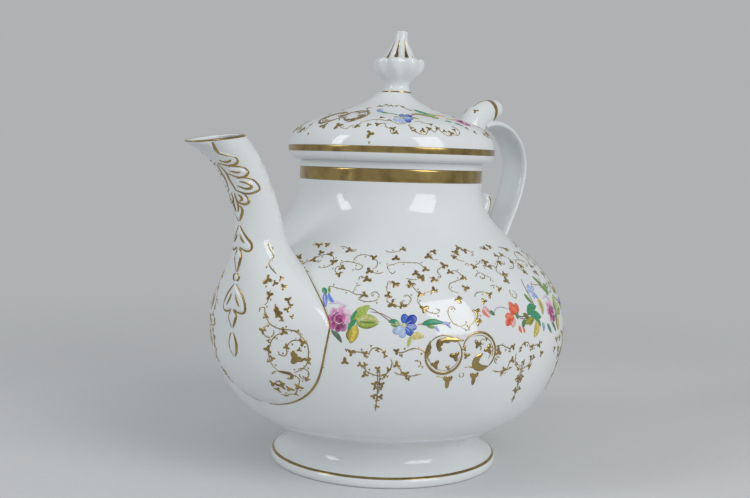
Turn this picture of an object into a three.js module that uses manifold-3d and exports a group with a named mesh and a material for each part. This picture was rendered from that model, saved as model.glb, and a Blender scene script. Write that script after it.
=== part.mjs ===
// Porcelain teapot with a lift-off lid, in millimetres, +Z up, standing on z = 0.
// The spout points towards -X and the handle towards +X. The origin is under the
// middle of the whole pot, spout and handle included, so the pot's own axis is beside it.
import * as THREE from 'three';
import { mergeVertices } from 'three/addons/utils/BufferGeometryUtils.js';
import Module from 'manifold-3d';

const wasm = await Module();
wasm.setup();

// Gaps between pieces
const LUTE_GAP = 0.3; // seam that the slip fills where two clay pieces were joined
const SEAT_GAP = 0.3; // between the lid and the rim that it rests on
const FLANGE_PLAY = 1.0; // between the lid's flange and the inside of the neck
const LID_PASSAGE = 1.6; // between the lid's edge and the handle post beside it

// Body, radii and heights on its outside
const BELLY_R = 84.4;
const BELLY_Z = 65.5;
const UNDERSIDE_R = 51.0; // flat underside, where the foot is luted on
const UNDERSIDE_Z = 20.3;
const NECK_R = 43.4;
const NECK_LENGTH = 13.0;
const RIM_Z = 144.0;
const RIM_ROUND = 0.9;
const BODY_WALL = 3.2;
const KNUCKLE_PULL = 20.5; // how far the underside runs on before it turns up
const LOWER_BELLY_PULL = 19.4; // how far the belly stays upright below its widest place
const UPPER_BELLY_PULL = 36.7; // the same above its widest place
const NECK_PULL = 23.9; // how far the neck stays upright below its straight part

// Tea strainer, the holes through the wall behind the spout
const STRAINER_HOLE_R = 2.6;
const STRAINER_PITCH = 9.0;
const STRAINER_Z = 66.0;

// Foot ring
const FOOT_R = 54.4;
const FOOT_TREAD_R = 53.0; // outer edge of the unglazed ring that touches the table
const FOOT_TREAD_WIDTH = 3.6;
const FOOT_RIM_Z = 2.6;
const FOOT_RIM_TOP_Z = 4.7;
const FOOT_WAIST_R = 46.9;
const FOOT_WAIST_Z = 12.0;
const FOOT_TOP_R = 49.8;
const FOOT_WALL = 4.6;

// Spout, measured outwards from the belly's widest place and up or down from its height
const BULB_OUT = 11.4; // how far the front ridge of the swollen root stands out
const BULB_UP = 7.5;
const BULB_HALF_WIDTH = 37.0;
const BULB_DEPTH = 42.0;
const BULB_SIDE_SLANT = 10.0; // how much the root's sides draw in towards its lowest end
const BULB_PULL_DOWN = 19.0; // how far the root stays upright below its widest place
const BULB_PULL_UP = 13.0; // the same above it
const ROOT_DOWN = 32.5; // lowest hidden end of the root
const ROOT_IN = 18.4;
const ROOT_DEPTH = 24.0;
const ROOT_HALF_WIDTH = 9.0;
const ROOT_FRONT_PULL = [20.4, 6.5]; // how the root's lowest end sets off, out and up, in front
const ROOT_BACK_PULL = [4.0, 8.0]; // and at its back
const TUBE_OUT = 8.4; // front of the slender tube at its waist
const TUBE_UP = 45.5;
const TUBE_DEPTH = 22.0;
const TUBE_HALF_WIDTH = 9.9;
const TUBE_PULL_DOWN = 12.0; // how far the tube stays straight below its waist
const TUBE_BACK_SLANT = 6.0; // the back leans inwards by this much over that stretch
const TUBE_FRONT_PULL_UP = 22.0; // how far the tube stays straight above its waist, in front
const TUBE_BACK_PULL_UP = [4.0, 18.0]; // and at its back, out and up
const LIP_OUT = 35.9; // tip of the pouring lip
const LIP_UP = 83.5;
const LIP_LENGTH = 26.8;
const LIP_RISE = 4.0; // the back of the mouth stands this much above its tip
const LIP_HALF_WIDTH = 9.8;
const THROAT_NARROWING = 1.6; // the tube narrows by this much above its waist
const LIP_FLARE = 1.2; // and the mouth widens again by this much
const LIP_FRONT_PULL = [14.0, 3.5]; // how the lip's front arrives at its tip, in and down
const LIP_BACK_PULL = [10.0, 8.0]; // and the back of the mouth
const SPOUT_WALL = 2.8;

// Handle: a post with a rolled thumb tip, a broad strap below it, and a small scroll
const POST_HALF = 5.6;
const POST_HALF_WIDTH = 6.3;
const ELBOW_HALF = 7.9; // pull of the section's size between the post and the thumb tip
const ELBOW_HALF_WIDTH = 7.3;
const TIP_HALF = 5.2;
const TIP_HALF_WIDTH = 5.5;
const TIP_OUT = 23.0; // thumb tip, out from the post and up from the neck's rim
const TIP_UP = 27.9;
const TIP_PULL = [15.5, 3.0]; // how the post's top arrives at the thumb tip, out and up
const POST_FOOT_DOWN = 25.0; // where the post enters the neck, below the rim
const POST_FOOT_PULL = [9.0, 6.0]; // how it sets off from the neck, out and up
const POST_FOOT_HALF = 6.6;
const POST_FOOT_HALF_WIDTH = 7.0;
const POST_STRAIGHT = 12.0; // the post stands upright over this height below its middle
const POST_MIDDLE_DOWN = 2.0; // the post's middle, below the rim
const ELBOW_PULL = 19.0; // how far the post stays upright above its middle
const STRAP_OUT = 21.8; // outermost middle of the strap, out from the thumb tip
const STRAP_DOWN = 30.3; // and down from it
const STRAP_START = [4.0, 8.4]; // the strap starts this much in and down from the thumb tip
const STRAP_START_PULL = [15.5, 2.5]; // and sets off this much out and up
const STRAP_PULL_UP = 13.4; // how far it stays upright above its outermost place
const STRAP_PULL_DOWN = 17.6; // and below it
const STRAP_HALF_THICK = 2.7;
const STRAP_TOP_HALF_WIDTH = 6.6;
const STRAP_HALF_WIDTH = 8.0;
const STRAP_SPREAD = [1.4, 0.8]; // extra half thickness and half width where it meets the belly
const STRAP_DISH = 1.3; // hollow along the strap's inner face
const STRAP_END_IN = 10.4; // where the strap enters the belly, in from its widest place
const STRAP_END_UP = 20.5;
const STRAP_END_PULL = [10.0, 22.0]; // how it arrives there, from outside and above
const SCROLL_OUT = 29.4; // tip of the small scroll, out from the neck
const SCROLL_DOWN = 19.5; // and down from the rim
const SCROLL_SAG = 12.0; // the scroll's bend hangs this much below its tip
const SCROLL_START_DOWN = 5.0; // where it leaves the neck, below its tip
const SCROLL_START_PULL = 11.0; // how far out from there its bend begins
const SCROLL_SINK = 2.0; // how far it starts from the neck's outside
const SCROLL_TAPER = 0.5; // the scroll thickens by this much at the neck and thins at its tip
const SCROLL_HALF = 4.1;
const SCROLL_HALF_WIDTH = 5.4;

// Lid
const LID_R = 49.0;
const LID_WALL = 3.0;
const LID_EDGE_DROP = 0.8; // the rounded edge hangs this much below the neck's rim
const LID_EDGE_UP = 4.6; // widest place, above the rim
const LID_SHOULDER_R = 30.0;
const LID_SHOULDER_UP = 20.6;
const PAD_R = 8.0; // small flat top that carries the knob
const PAD_UP = 31.5;
const SEAT_OVERHANG = 0.6; // the seat reaches past the neck's outside by this much
const FLANGE_WALL = 2.6;
const FLANGE_DEPTH = 9.0;

// Knob, a lobed cup on a short stem with a fluted spire standing in it
const KNOB_STEM_R = 5.6;
const KNOB_BASE_R = 7.4;
const KNOB_CUP_R = 12.0;
const KNOB_CUP_UP = 12.9;
const KNOB_HEIGHT = 15.5;
const KNOB_LOBES = 8;
const KNOB_LOBE_DEPTH = 0.07; // share of the radius
const SPIRE_BASE_R = 6.9;
const SPIRE_TOP_R = 2.8;
const SPIRE_HEIGHT = 12.8;
const SPIRE_FLUTES = 8;
const SPIRE_FLUTE_DEPTH = 0.12;
const KNOB_LEAN = THREE.MathUtils.degToRad(2.6); // the knob was set on a little askew
const KNOB_LEAN_TOWARDS = THREE.MathUtils.degToRad(-48);

// Facets
const TURNS = 48; // steps round the body, foot and lid
const KNOB_TURNS = 40;
const RING_STEPS = 20; // steps round the spout and handle sections
const CURVE_STEPS = 6; // steps along one curve of an outline

// Places worked out from the sizes above
const SPOUT_REACH = BELLY_R + LIP_OUT;
const POST_R = LID_R + LID_PASSAGE + POST_HALF;
const STRAP_R = POST_R + TIP_OUT + STRAP_OUT;
const HANDLE_REACH = STRAP_R + STRAP_HALF_THICK;
const AXIS_X = (SPOUT_REACH - HANDLE_REACH) / 2;

// Materials
const porcelain = new THREE.MeshStandardMaterial({ color: 0xdfe4e4, roughness: 0.12, metalness: 0 });
const gilded = new THREE.MeshStandardMaterial({ color: 0xa98a4a, roughness: 0.25, metalness: 0.9 });
const bisque = new THREE.MeshStandardMaterial({ color: 0xd2d2cc, roughness: 0.6, metalness: 0 });

// One cubic curve in the plane of radius and height
function bend(from, pullOut, pullIn, to) {
  const points = [from, pullOut, pullIn, to].map((p) => new THREE.Vector2(p[0], p[1]));
  return new THREE.CubicBezierCurve(...points);
}

// Points along a run of curves that join end to end, without doubles at the joins
function trace(curves, steps) {
  const points = [curves[0].getPoint(0)];
  for (const curve of curves) {
    points.push(...curve.getPoints(steps).slice(1));
  }
  return points;
}

// The same run of curves asked at one place, 0 at its start and 1 at the end of the first curve
function pointAt(curves, place) {
  const index = Math.min(Math.floor(place), curves.length - 1);
  return curves[index].getPoint(place - index);
}

// An outline moved sideways by a distance, to its left as it runs
function offsetOutline(points, distance) {
  return points.map((point, i) => {
    const before = points[Math.max(i - 1, 0)];
    const after = points[Math.min(i + 1, points.length - 1)];
    const along = after.clone().sub(before).normalize();
    return new THREE.Vector2(point.x - along.y * distance, point.y + along.x * distance);
  });
}

// A turned solid; the outline runs upwards on the outside, so that its faces point out
function turn(points, turns) {
  const geometry = new THREE.LatheGeometry(points, turns);
  geometry.rotateX(Math.PI / 2);
  return closed(geometry);
}

// Only the corner positions, shared between neighbouring triangles
function closed(geometry) {
  geometry.deleteAttribute('normal');
  geometry.deleteAttribute('uv');
  return mergeVertices(geometry, 1e-4);
}

// A solid through rings with the same number of points, closed with a fan at each end
function loft(rings) {
  const around = rings[0].length;
  const positions = rings.flat().flatMap((p) => [p.x, p.y, p.z]);
  const faces = [];
  for (let row = 0; row + 1 < rings.length; row += 1) {
    for (let i = 0; i < around; i += 1) {
      const a = row * around + i;
      const b = row * around + ((i + 1) % around);
      faces.push(a, b, b + around, a, b + around, a + around);
    }
  }
  const fans = [[0, false], [rings.length - 1, true]];
  for (const [row, last] of fans) {
    const middle = new THREE.Vector3();
    rings[row].forEach((p) => middle.addScaledVector(p, 1 / around));
    const centre = positions.length / 3;
    positions.push(middle.x, middle.y, middle.z);
    for (let i = 0; i < around; i += 1) {
      const a = row * around + i;
      const b = row * around + ((i + 1) % around);
      faces.push(centre, last ? a : b, last ? b : a);
    }
  }
  const geometry = new THREE.BufferGeometry();
  geometry.setAttribute('position', new THREE.Float32BufferAttribute(positions, 3));
  geometry.setIndex(faces);
  return geometry;
}

function toSolid(geometry) {
  const vertProperties = new Float32Array(geometry.attributes.position.array);
  const triVerts = new Uint32Array(geometry.index.array);
  return new wasm.Manifold(new wasm.Mesh({ numProp: 3, vertProperties, triVerts }));
}

function toGeometry(solid) {
  const mesh = solid.getMesh();
  const geometry = new THREE.BufferGeometry();
  geometry.setAttribute('position', new THREE.BufferAttribute(mesh.vertProperties, 3));
  geometry.setIndex(new THREE.BufferAttribute(mesh.triVerts, 1));
  return geometry;
}

// Body of the pot: outside from the underside's edge up to the straight neck
const neckZ = RIM_Z - NECK_LENGTH;
const lowerBelly = bend(
  [UNDERSIDE_R, UNDERSIDE_Z],
  [UNDERSIDE_R + KNUCKLE_PULL, UNDERSIDE_Z + 1],
  [BELLY_R, BELLY_Z - LOWER_BELLY_PULL],
  [BELLY_R, BELLY_Z],
);
const upperBelly = bend(
  [BELLY_R, BELLY_Z],
  [BELLY_R, BELLY_Z + UPPER_BELLY_PULL],
  [NECK_R, neckZ - NECK_PULL],
  [NECK_R, neckZ],
);
const bodyOutside = trace([lowerBelly, upperBelly], CURVE_STEPS);

// The outside up to the rim, grown by a gap and closed down to the axis
function bodyEnvelope(gap) {
  const wall = offsetOutline(bodyOutside, -gap);
  const outline = [
    new THREE.Vector2(0, UNDERSIDE_Z - gap),
    new THREE.Vector2(UNDERSIDE_R, UNDERSIDE_Z - gap),
    ...wall.slice(1),
    new THREE.Vector2(NECK_R + gap, RIM_Z),
    new THREE.Vector2(0, RIM_Z),
  ];
  return toSolid(turn(outline, TURNS));
}

// Peg along X that drills one strainer hole
function strainerPeg(y, z) {
  const length = BODY_WALL * 6;
  const peg = new THREE.CylinderGeometry(STRAINER_HOLE_R, STRAINER_HOLE_R, length, 8);
  peg.rotateZ(Math.PI / 2);
  peg.translate(-(BELLY_R - BODY_WALL / 2), y, z);
  return toSolid(closed(peg));
}

// A middle hole with a ring of six round it
function strainerPlaces() {
  const places = [[0, STRAINER_Z]];
  for (let i = 0; i < 6; i += 1) {
    const angle = (i * Math.PI) / 3;
    places.push([STRAINER_PITCH * Math.sin(angle), STRAINER_Z + STRAINER_PITCH * Math.cos(angle)]);
  }
  return places;
}

function potBody() {
  const inside = offsetOutline(bodyOutside, BODY_WALL).reverse();
  const outline = [
    new THREE.Vector2(0, UNDERSIDE_Z),
    ...bodyOutside,
    new THREE.Vector2(NECK_R, RIM_Z - RIM_ROUND),
    new THREE.Vector2(NECK_R - RIM_ROUND, RIM_Z),
    new THREE.Vector2(NECK_R - BODY_WALL + RIM_ROUND, RIM_Z),
    new THREE.Vector2(NECK_R - BODY_WALL, RIM_Z - RIM_ROUND),
    ...inside,
    new THREE.Vector2(0, UNDERSIDE_Z + BODY_WALL),
  ];
  let solid = toSolid(turn(outline, TURNS));
  for (const [y, z] of strainerPlaces()) {
    solid = solid.subtract(strainerPeg(y, z));
  }
  return toGeometry(solid);
}

function footRing() {
  const topZ = UNDERSIDE_Z - LUTE_GAP;
  const rimTop = [FOOT_R - 1.1, FOOT_RIM_TOP_Z];
  const waist = [FOOT_WAIST_R, FOOT_WAIST_Z];
  const top = [FOOT_TOP_R, topZ];
  const outside = trace([
    bend([FOOT_TREAD_R, 0], [FOOT_R, 0.3], [FOOT_R, FOOT_RIM_Z - 1], [FOOT_R, FOOT_RIM_Z]),
    bend([FOOT_R, FOOT_RIM_Z], [FOOT_R, FOOT_RIM_Z + 1], [FOOT_R - 0.5, FOOT_RIM_TOP_Z - 0.4], rimTop),
    bend(rimTop, [FOOT_R - 4, FOOT_RIM_TOP_Z + 1.6], [FOOT_WAIST_R, FOOT_WAIST_Z - 3.5], waist),
    bend(waist, [FOOT_WAIST_R, FOOT_WAIST_Z + 3.5], [FOOT_TOP_R - 0.8, topZ - 2.5], top),
  ], 3);
  const inside = trace([
    bend(
      [FOOT_TOP_R - FOOT_WALL, topZ],
      [FOOT_WAIST_R - FOOT_WALL, FOOT_WAIST_Z + 2],
      [FOOT_WAIST_R - FOOT_WALL, FOOT_WAIST_Z - 3],
      [FOOT_TREAD_R - FOOT_TREAD_WIDTH, 0],
    ),
  ], 5);
  return turn([...outside, ...inside, outside[0]], TURNS);
}

// Spout: front ridge, back and half width, each a run of three curves along the spout
const bulbFront = [BELLY_R + BULB_OUT, BELLY_Z + BULB_UP];
const tubeFront = [BELLY_R + TUBE_OUT, BELLY_Z + TUBE_UP];
const lipFront = [SPOUT_REACH, BELLY_Z + LIP_UP];
const rootFront = [BELLY_R - ROOT_IN, BELLY_Z - ROOT_DOWN];
const ridge = [
  bend(
    rootFront,
    [rootFront[0] + ROOT_FRONT_PULL[0], rootFront[1] + ROOT_FRONT_PULL[1]],
    [bulbFront[0], bulbFront[1] - BULB_PULL_DOWN],
    bulbFront,
  ),
  bend(
    bulbFront,
    [bulbFront[0], bulbFront[1] + BULB_PULL_UP],
    [tubeFront[0], tubeFront[1] - TUBE_PULL_DOWN],
    tubeFront,
  ),
  bend(
    tubeFront,
    [tubeFront[0], tubeFront[1] + TUBE_FRONT_PULL_UP],
    [lipFront[0] - LIP_FRONT_PULL[0], lipFront[1] - LIP_FRONT_PULL[1]],
    lipFront,
  ),
];
const rootBack = [rootFront[0] - ROOT_DEPTH, rootFront[1]];
const bulbBack = [bulbFront[0] - BULB_DEPTH, bulbFront[1]];
const tubeBack = [tubeFront[0] - TUBE_DEPTH, tubeFront[1]];
const lipBack = [lipFront[0] - LIP_LENGTH, lipFront[1] + LIP_RISE];
const back = [
  bend(
    rootBack,
    [rootBack[0] + ROOT_BACK_PULL[0], rootBack[1] + ROOT_BACK_PULL[1]],
    [bulbBack[0], bulbBack[1] - BULB_PULL_DOWN],
    bulbBack,
  ),
  bend(
    bulbBack,
    [bulbBack[0], bulbBack[1] + BULB_PULL_UP],
    [tubeBack[0] - TUBE_BACK_SLANT, tubeBack[1] - TUBE_PULL_DOWN],
    tubeBack,
  ),
  bend(
    tubeBack,
    [tubeBack[0] + TUBE_BACK_PULL_UP[0], tubeBack[1] + TUBE_BACK_PULL_UP[1]],
    [lipBack[0] - LIP_BACK_PULL[0], lipBack[1] - LIP_BACK_PULL[1]],
    lipBack,
  ),
];
const halfWidth = [
  bend(
    [0, ROOT_HALF_WIDTH],
    [0, BULB_HALF_WIDTH - BULB_SIDE_SLANT],
    [0, BULB_HALF_WIDTH],
    [0, BULB_HALF_WIDTH],
  ),
  bend([0, BULB_HALF_WIDTH], [0, BULB_HALF_WIDTH], [0, TUBE_HALF_WIDTH], [0, TUBE_HALF_WIDTH]),
  bend(
    [0, TUBE_HALF_WIDTH],
    [0, TUBE_HALF_WIDTH - THROAT_NARROWING],
    [0, LIP_HALF_WIDTH - LIP_FLARE],
    [0, LIP_HALF_WIDTH],
  ),
];
const WIDEST_SHARE = 0.48; // the section's widest place, from the ridge to the back
const BULB_PEAK = 0.7; // how much the swollen root draws in to a rounded ridge

// One section of the spout, inset by a wall; its front half is drawn in where the root is wide
function spoutRing(place, inset) {
  const front = pointAt(ridge, place);
  const rear = pointAt(back, place);
  const width = pointAt(halfWidth, place).y;
  const swell = Math.max(0, (width - TUBE_HALF_WIDTH) / (BULB_HALF_WIDTH - TUBE_HALF_WIDTH));
  const power = 1 + BULB_PEAK * swell;
  const middle = front.clone().lerp(rear, WIDEST_SHARE);
  const shrinkFront = 1 - inset / front.distanceTo(middle);
  const shrinkRear = 1 - inset / rear.distanceTo(middle);
  const shrinkSide = 1 - inset / width;
  const ring = [];
  for (let i = 0; i < RING_STEPS; i += 1) {
    const angle = (i / RING_STEPS) * Math.PI * 2;
    const cosine = Math.cos(angle);
    const towards = cosine > 0 ? front : rear;
    const share = cosine > 0 ? cosine ** power * shrinkFront : -cosine * shrinkRear;
    const point = middle.clone().lerp(towards, share);
    ring.push(new THREE.Vector3(-point.x, -width * shrinkSide * Math.sin(angle), point.y));
  }
  return ring;
}

// Rings from one place to another along the spout
function spoutRings(from, to, inset, count) {
  const rings = [];
  for (let i = 0; i <= count; i += 1) {
    rings.push(spoutRing(from + ((to - from) * i) / count, inset));
  }
  return rings;
}

function spoutPiece() {
  const skin = toSolid(loft(spoutRings(0, ridge.length, 0, 24)));
  const rings = spoutRings(0.35, ridge.length, SPOUT_WALL, 16);
  const top = rings[rings.length - 1].map((p) => p.clone().add(new THREE.Vector3(0, 0, 3)));
  const channel = toSolid(loft([...rings, top]));
  return toGeometry(skin.subtract(channel).subtract(bodyEnvelope(LUTE_GAP)));
}

// Handle pieces: an oval or dished section carried along a run of curves in the XZ plane
function handleRings(line, size, count, dish) {
  const rings = [];
  for (let row = 0; row <= count; row += 1) {
    const place = (row / count) * line.length;
    const centre = pointAt(line, place);
    const ahead = pointAt(line, Math.min(place + 0.02, line.length));
    const behind = pointAt(line, Math.max(place - 0.02, 0));
    const along = ahead.clone().sub(behind).normalize();
    const half = pointAt(size, place);
    rings.push(sectionRing(centre, along, half, dish));
  }
  return rings;
}

// One oval across the line; the dish draws in the middle of its inner face
function sectionRing(centre, along, half, dish) {
  const ring = [];
  for (let i = 0; i < RING_STEPS; i += 1) {
    const angle = (i / RING_STEPS) * Math.PI * 2;
    const side = Math.sin(angle);
    const inner = Math.max(0, Math.cos(angle)) ** 2;
    const out = Math.cos(angle) * half.x - inner * dish;
    ring.push(new THREE.Vector3(
      centre.x + along.y * out,
      half.y * side,
      centre.y - along.x * out,
    ));
  }
  return ring;
}

// A last few shrinking rings that round off the end of a handle piece
function roundEnd(rings, line, reach) {
  const end = pointAt(line, line.length);
  const before = pointAt(line, line.length - 0.02);
  const along = end.clone().sub(before).normalize();
  const middle = new THREE.Vector3(end.x, 0, end.y);
  const last = rings[rings.length - 1];
  for (const turnBy of [0.35, 0.7, 1.0, 1.3]) {
    const shift = new THREE.Vector3(along.x, 0, along.y).multiplyScalar(Math.sin(turnBy) * reach);
    rings.push(last.map((p) => p.clone().sub(middle).multiplyScalar(Math.cos(turnBy)).add(middle).add(shift)));
  }
  return rings;
}

const tip = [POST_R + TIP_OUT, RIM_Z + TIP_UP];
const postFoot = [NECK_R, RIM_Z - POST_FOOT_DOWN];
const postMiddle = [POST_R, RIM_Z - POST_MIDDLE_DOWN];
const armLine = [
  bend(
    postFoot,
    [postFoot[0] + POST_FOOT_PULL[0], postFoot[1] + POST_FOOT_PULL[1]],
    [POST_R, postMiddle[1] - POST_STRAIGHT],
    postMiddle,
  ),
  bend(
    postMiddle,
    [POST_R, postMiddle[1] + ELBOW_PULL],
    [tip[0] - TIP_PULL[0], tip[1] - TIP_PULL[1]],
    tip,
  ),
];
const postSize = [POST_HALF, POST_HALF_WIDTH];
const elbowSize = [ELBOW_HALF, ELBOW_HALF_WIDTH];
const armSize = [
  bend([POST_FOOT_HALF, POST_FOOT_HALF_WIDTH], postSize, postSize, postSize),
  bend(postSize, elbowSize, elbowSize, [TIP_HALF, TIP_HALF_WIDTH]),
];
const strapStart = [tip[0] - STRAP_START[0], tip[1] - STRAP_START[1]];
const strapTop = [STRAP_R, tip[1] - STRAP_DOWN];
const strapEnd = [BELLY_R - STRAP_END_IN, BELLY_Z + STRAP_END_UP];
const strapLine = [
  bend(
    strapStart,
    [strapStart[0] + STRAP_START_PULL[0], strapStart[1] + STRAP_START_PULL[1]],
    [STRAP_R, strapTop[1] + STRAP_PULL_UP],
    strapTop,
  ),
  bend(
    strapTop,
    [STRAP_R, strapTop[1] - STRAP_PULL_DOWN],
    [strapEnd[0] + STRAP_END_PULL[0], strapEnd[1] + STRAP_END_PULL[1]],
    strapEnd,
  ),
];
const strapMiddleSize = [STRAP_HALF_THICK, STRAP_HALF_WIDTH];
const strapEndSize = [STRAP_HALF_THICK + STRAP_SPREAD[0], STRAP_HALF_WIDTH + STRAP_SPREAD[1]];
const strapSize = [
  bend([STRAP_HALF_THICK, STRAP_TOP_HALF_WIDTH], strapMiddleSize, strapMiddleSize, strapMiddleSize),
  bend(strapMiddleSize, strapMiddleSize, strapMiddleSize, strapEndSize),
];
const scrollTip = [NECK_R + SCROLL_OUT, RIM_Z - SCROLL_DOWN];
const scrollStart = [NECK_R + SCROLL_SINK, scrollTip[1] - SCROLL_START_DOWN];
const scrollLine = [
  bend(
    scrollStart,
    [scrollStart[0] + SCROLL_START_PULL, scrollTip[1] - SCROLL_SAG],
    [scrollTip[0], scrollTip[1] - SCROLL_SAG],
    scrollTip,
  ),
];
const scrollSize = [
  bend(
    [SCROLL_HALF + SCROLL_TAPER, SCROLL_HALF_WIDTH],
    [SCROLL_HALF, SCROLL_HALF_WIDTH],
    [SCROLL_HALF, SCROLL_HALF_WIDTH],
    [SCROLL_HALF - SCROLL_TAPER, SCROLL_HALF_WIDTH],
  ),
];

// The arm's solid, fattened by a gap where a neighbour is cut to it
function armSolid(gap) {
  const size = armSize.map((curve) => {
    const points = [curve.v0, curve.v1, curve.v2, curve.v3];
    return bend(...points.map((p) => [p.x + gap, p.y + gap]));
  });
  return toSolid(loft(roundEnd(handleRings(armLine, size, 16, 0), armLine, TIP_HALF + gap)));
}

function handleArm() {
  return toGeometry(armSolid(0).subtract(bodyEnvelope(LUTE_GAP)));
}

function handleStrap() {
  const strap = toSolid(loft(handleRings(strapLine, strapSize, 24, STRAP_DISH)));
  return toGeometry(strap.subtract(armSolid(LUTE_GAP)).subtract(bodyEnvelope(LUTE_GAP)));
}

function handleScroll() {
  const reach = SCROLL_HALF - SCROLL_TAPER;
  const scroll = toSolid(loft(roundEnd(handleRings(scrollLine, scrollSize, 9, 0), scrollLine, reach)));
  return toGeometry(scroll.subtract(armSolid(LUTE_GAP)).subtract(bodyEnvelope(LUTE_GAP)));
}

// Lid: outside from the hanging edge up to the pad under the knob
const seatZ = RIM_Z + SEAT_GAP;
const seatR = NECK_R + SEAT_OVERHANG;
const edgeZ = RIM_Z - LID_EDGE_DROP;
const lidShoulder = [LID_SHOULDER_R, RIM_Z + LID_SHOULDER_UP];
const padZ = RIM_Z + PAD_UP;
const lidEdge = bend([seatR + 0.7, edgeZ], [LID_R - 1.2, edgeZ + 0.2], [LID_R, edgeZ + 2.4], [LID_R, RIM_Z + LID_EDGE_UP]);
const lidDome = bend(
  [LID_R, RIM_Z + LID_EDGE_UP],
  [LID_R, RIM_Z + LID_EDGE_UP + 9.4],
  [lidShoulder[0] + 11.5, lidShoulder[1] - 3.4],
  lidShoulder,
);
const lidRise = bend(lidShoulder, [lidShoulder[0] - 9, lidShoulder[1] + 3], [PAD_R + 2.5, padZ - 4], [PAD_R, padZ]);
const flangeR = NECK_R - BODY_WALL - FLANGE_PLAY;

function lidShell() {
  const dome = trace([lidDome, lidRise], CURVE_STEPS);
  const hollow = offsetOutline(dome, LID_WALL).reverse();
  const shelfZ = seatZ + LID_WALL;
  const inner = hollow.filter((p) => p.y > shelfZ + 0.5 && p.y < padZ - LID_WALL);
  const outline = [
    new THREE.Vector2(flangeR - FLANGE_WALL, seatZ),
    new THREE.Vector2(seatR, seatZ),
    ...trace([lidEdge], 5),
    ...dome.slice(1),
    new THREE.Vector2(0, padZ),
    new THREE.Vector2(0, padZ - LID_WALL),
    ...inner,
    new THREE.Vector2(seatR, shelfZ),
    new THREE.Vector2(flangeR - FLANGE_WALL, shelfZ),
    new THREE.Vector2(flangeR - FLANGE_WALL, seatZ),
  ];
  return turn(outline, TURNS);
}

function lidFlange() {
  const topZ = seatZ - LUTE_GAP;
  const lowZ = topZ - FLANGE_DEPTH;
  const inner = flangeR - FLANGE_WALL;
  const outline = [[inner, lowZ], [flangeR - 0.8, lowZ], [flangeR, lowZ + 1.2], [flangeR, topZ], [inner, topZ], [inner, lowZ]];
  return turn(outline.map((p) => new THREE.Vector2(p[0], p[1])), TURNS);
}

// Lobes round a turned piece, then the lean of the knob, which leaves its base level
function lobeAndLean(geometry, lobes, depth, fromZ, toZ) {
  const places = geometry.attributes.position;
  for (let i = 0; i < places.count; i += 1) {
    const angle = Math.atan2(places.getY(i), places.getX(i));
    const height = places.getZ(i);
    const inside = THREE.MathUtils.clamp((height - fromZ) / (toZ - fromZ), 0, 1);
    const swell = 1 + depth * Math.sin(inside * Math.PI) * Math.cos(lobes * angle);
    const lean = (height - padZ) * Math.tan(KNOB_LEAN);
    places.setX(i, places.getX(i) * swell + lean * Math.cos(KNOB_LEAN_TOWARDS));
    places.setY(i, places.getY(i) * swell + lean * Math.sin(KNOB_LEAN_TOWARDS));
  }
  return geometry;
}

const knobZ = padZ + LUTE_GAP;
const knobTopZ = knobZ + KNOB_HEIGHT;
const spireZ = knobTopZ + LUTE_GAP;

function knobCup() {
  const widest = [KNOB_CUP_R, knobZ + KNOB_CUP_UP];
  const stem = [KNOB_STEM_R, knobZ + 3.2];
  const outline = [
    new THREE.Vector2(0, knobZ),
    ...trace([
      bend([KNOB_BASE_R, knobZ], [KNOB_STEM_R + 0.3, knobZ + 1], [KNOB_STEM_R, knobZ + 2], stem),
      bend(stem, [KNOB_STEM_R, knobZ + 7], [KNOB_CUP_R, widest[1] - 4], widest),
      bend(widest, [KNOB_CUP_R, widest[1] + 1.6], [KNOB_CUP_R - 1.4, knobTopZ], [KNOB_CUP_R - 2.6, knobTopZ]),
    ], 4),
    new THREE.Vector2(0, knobTopZ),
  ];
  return lobeAndLean(turn(outline, KNOB_TURNS), KNOB_LOBES, KNOB_LOBE_DEPTH, knobZ + 4, knobTopZ);
}

function knobSpire() {
  const topZ = spireZ + SPIRE_HEIGHT;
  const outline = [
    new THREE.Vector2(0, spireZ),
    ...trace([
      bend([SPIRE_BASE_R, spireZ], [SPIRE_BASE_R, spireZ + 3], [SPIRE_TOP_R + 1.2, topZ - 5], [SPIRE_TOP_R, topZ - 0.8]),
    ], 5),
    new THREE.Vector2(SPIRE_TOP_R - 0.9, topZ),
    new THREE.Vector2(0, topZ),
  ];
  return lobeAndLean(turn(outline, KNOB_TURNS), SPIRE_FLUTES, SPIRE_FLUTE_DEPTH, spireZ - 4, topZ);
}

// Assembly: the pot and the lid are groups on the pot's axis
function addPiece(group, name, geometry, material) {
  const mesh = new THREE.Mesh(geometry, material);
  mesh.name = name;
  group.add(mesh);
}

const pot = new THREE.Group();
addPiece(pot, 'pot_body', potBody(), porcelain);
addPiece(pot, 'foot_ring', footRing(), porcelain);
addPiece(pot, 'spout', spoutPiece(), porcelain);
addPiece(pot, 'handle_arm', handleArm(), porcelain);
addPiece(pot, 'handle_strap', handleStrap(), porcelain);
addPiece(pot, 'handle_scroll', handleScroll(), porcelain);

const lid = new THREE.Group();
addPiece(lid, 'lid', lidShell(), porcelain);
addPiece(lid, 'lid_flange', lidFlange(), bisque);
addPiece(lid, 'knob_cup', knobCup(), porcelain);
addPiece(lid, 'knob_spire', knobSpire(), gilded);

const teapot = new THREE.Group();
teapot.add(pot, lid);
teapot.position.x = AXIS_X;

export default teapot;
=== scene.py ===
# %% [markdown]
# # A gilded porcelain teapot
# The pot is an old European porcelain teapot: a round belly on a turned foot, a tall spout with a
# swollen root, a strap handle and a domed lid with a tulip knob. It is white under a glossy glaze, with
# gold bands, gold ivy tendrils and small painted flowers. This lesson makes every surface with numpy, as
# a shape worked out from a few sizes, and lays the gold and the enamel on as very thin pieces, because
# on a real pot they are also put on last, over the glaze, and stand up from it by a hair.

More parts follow.
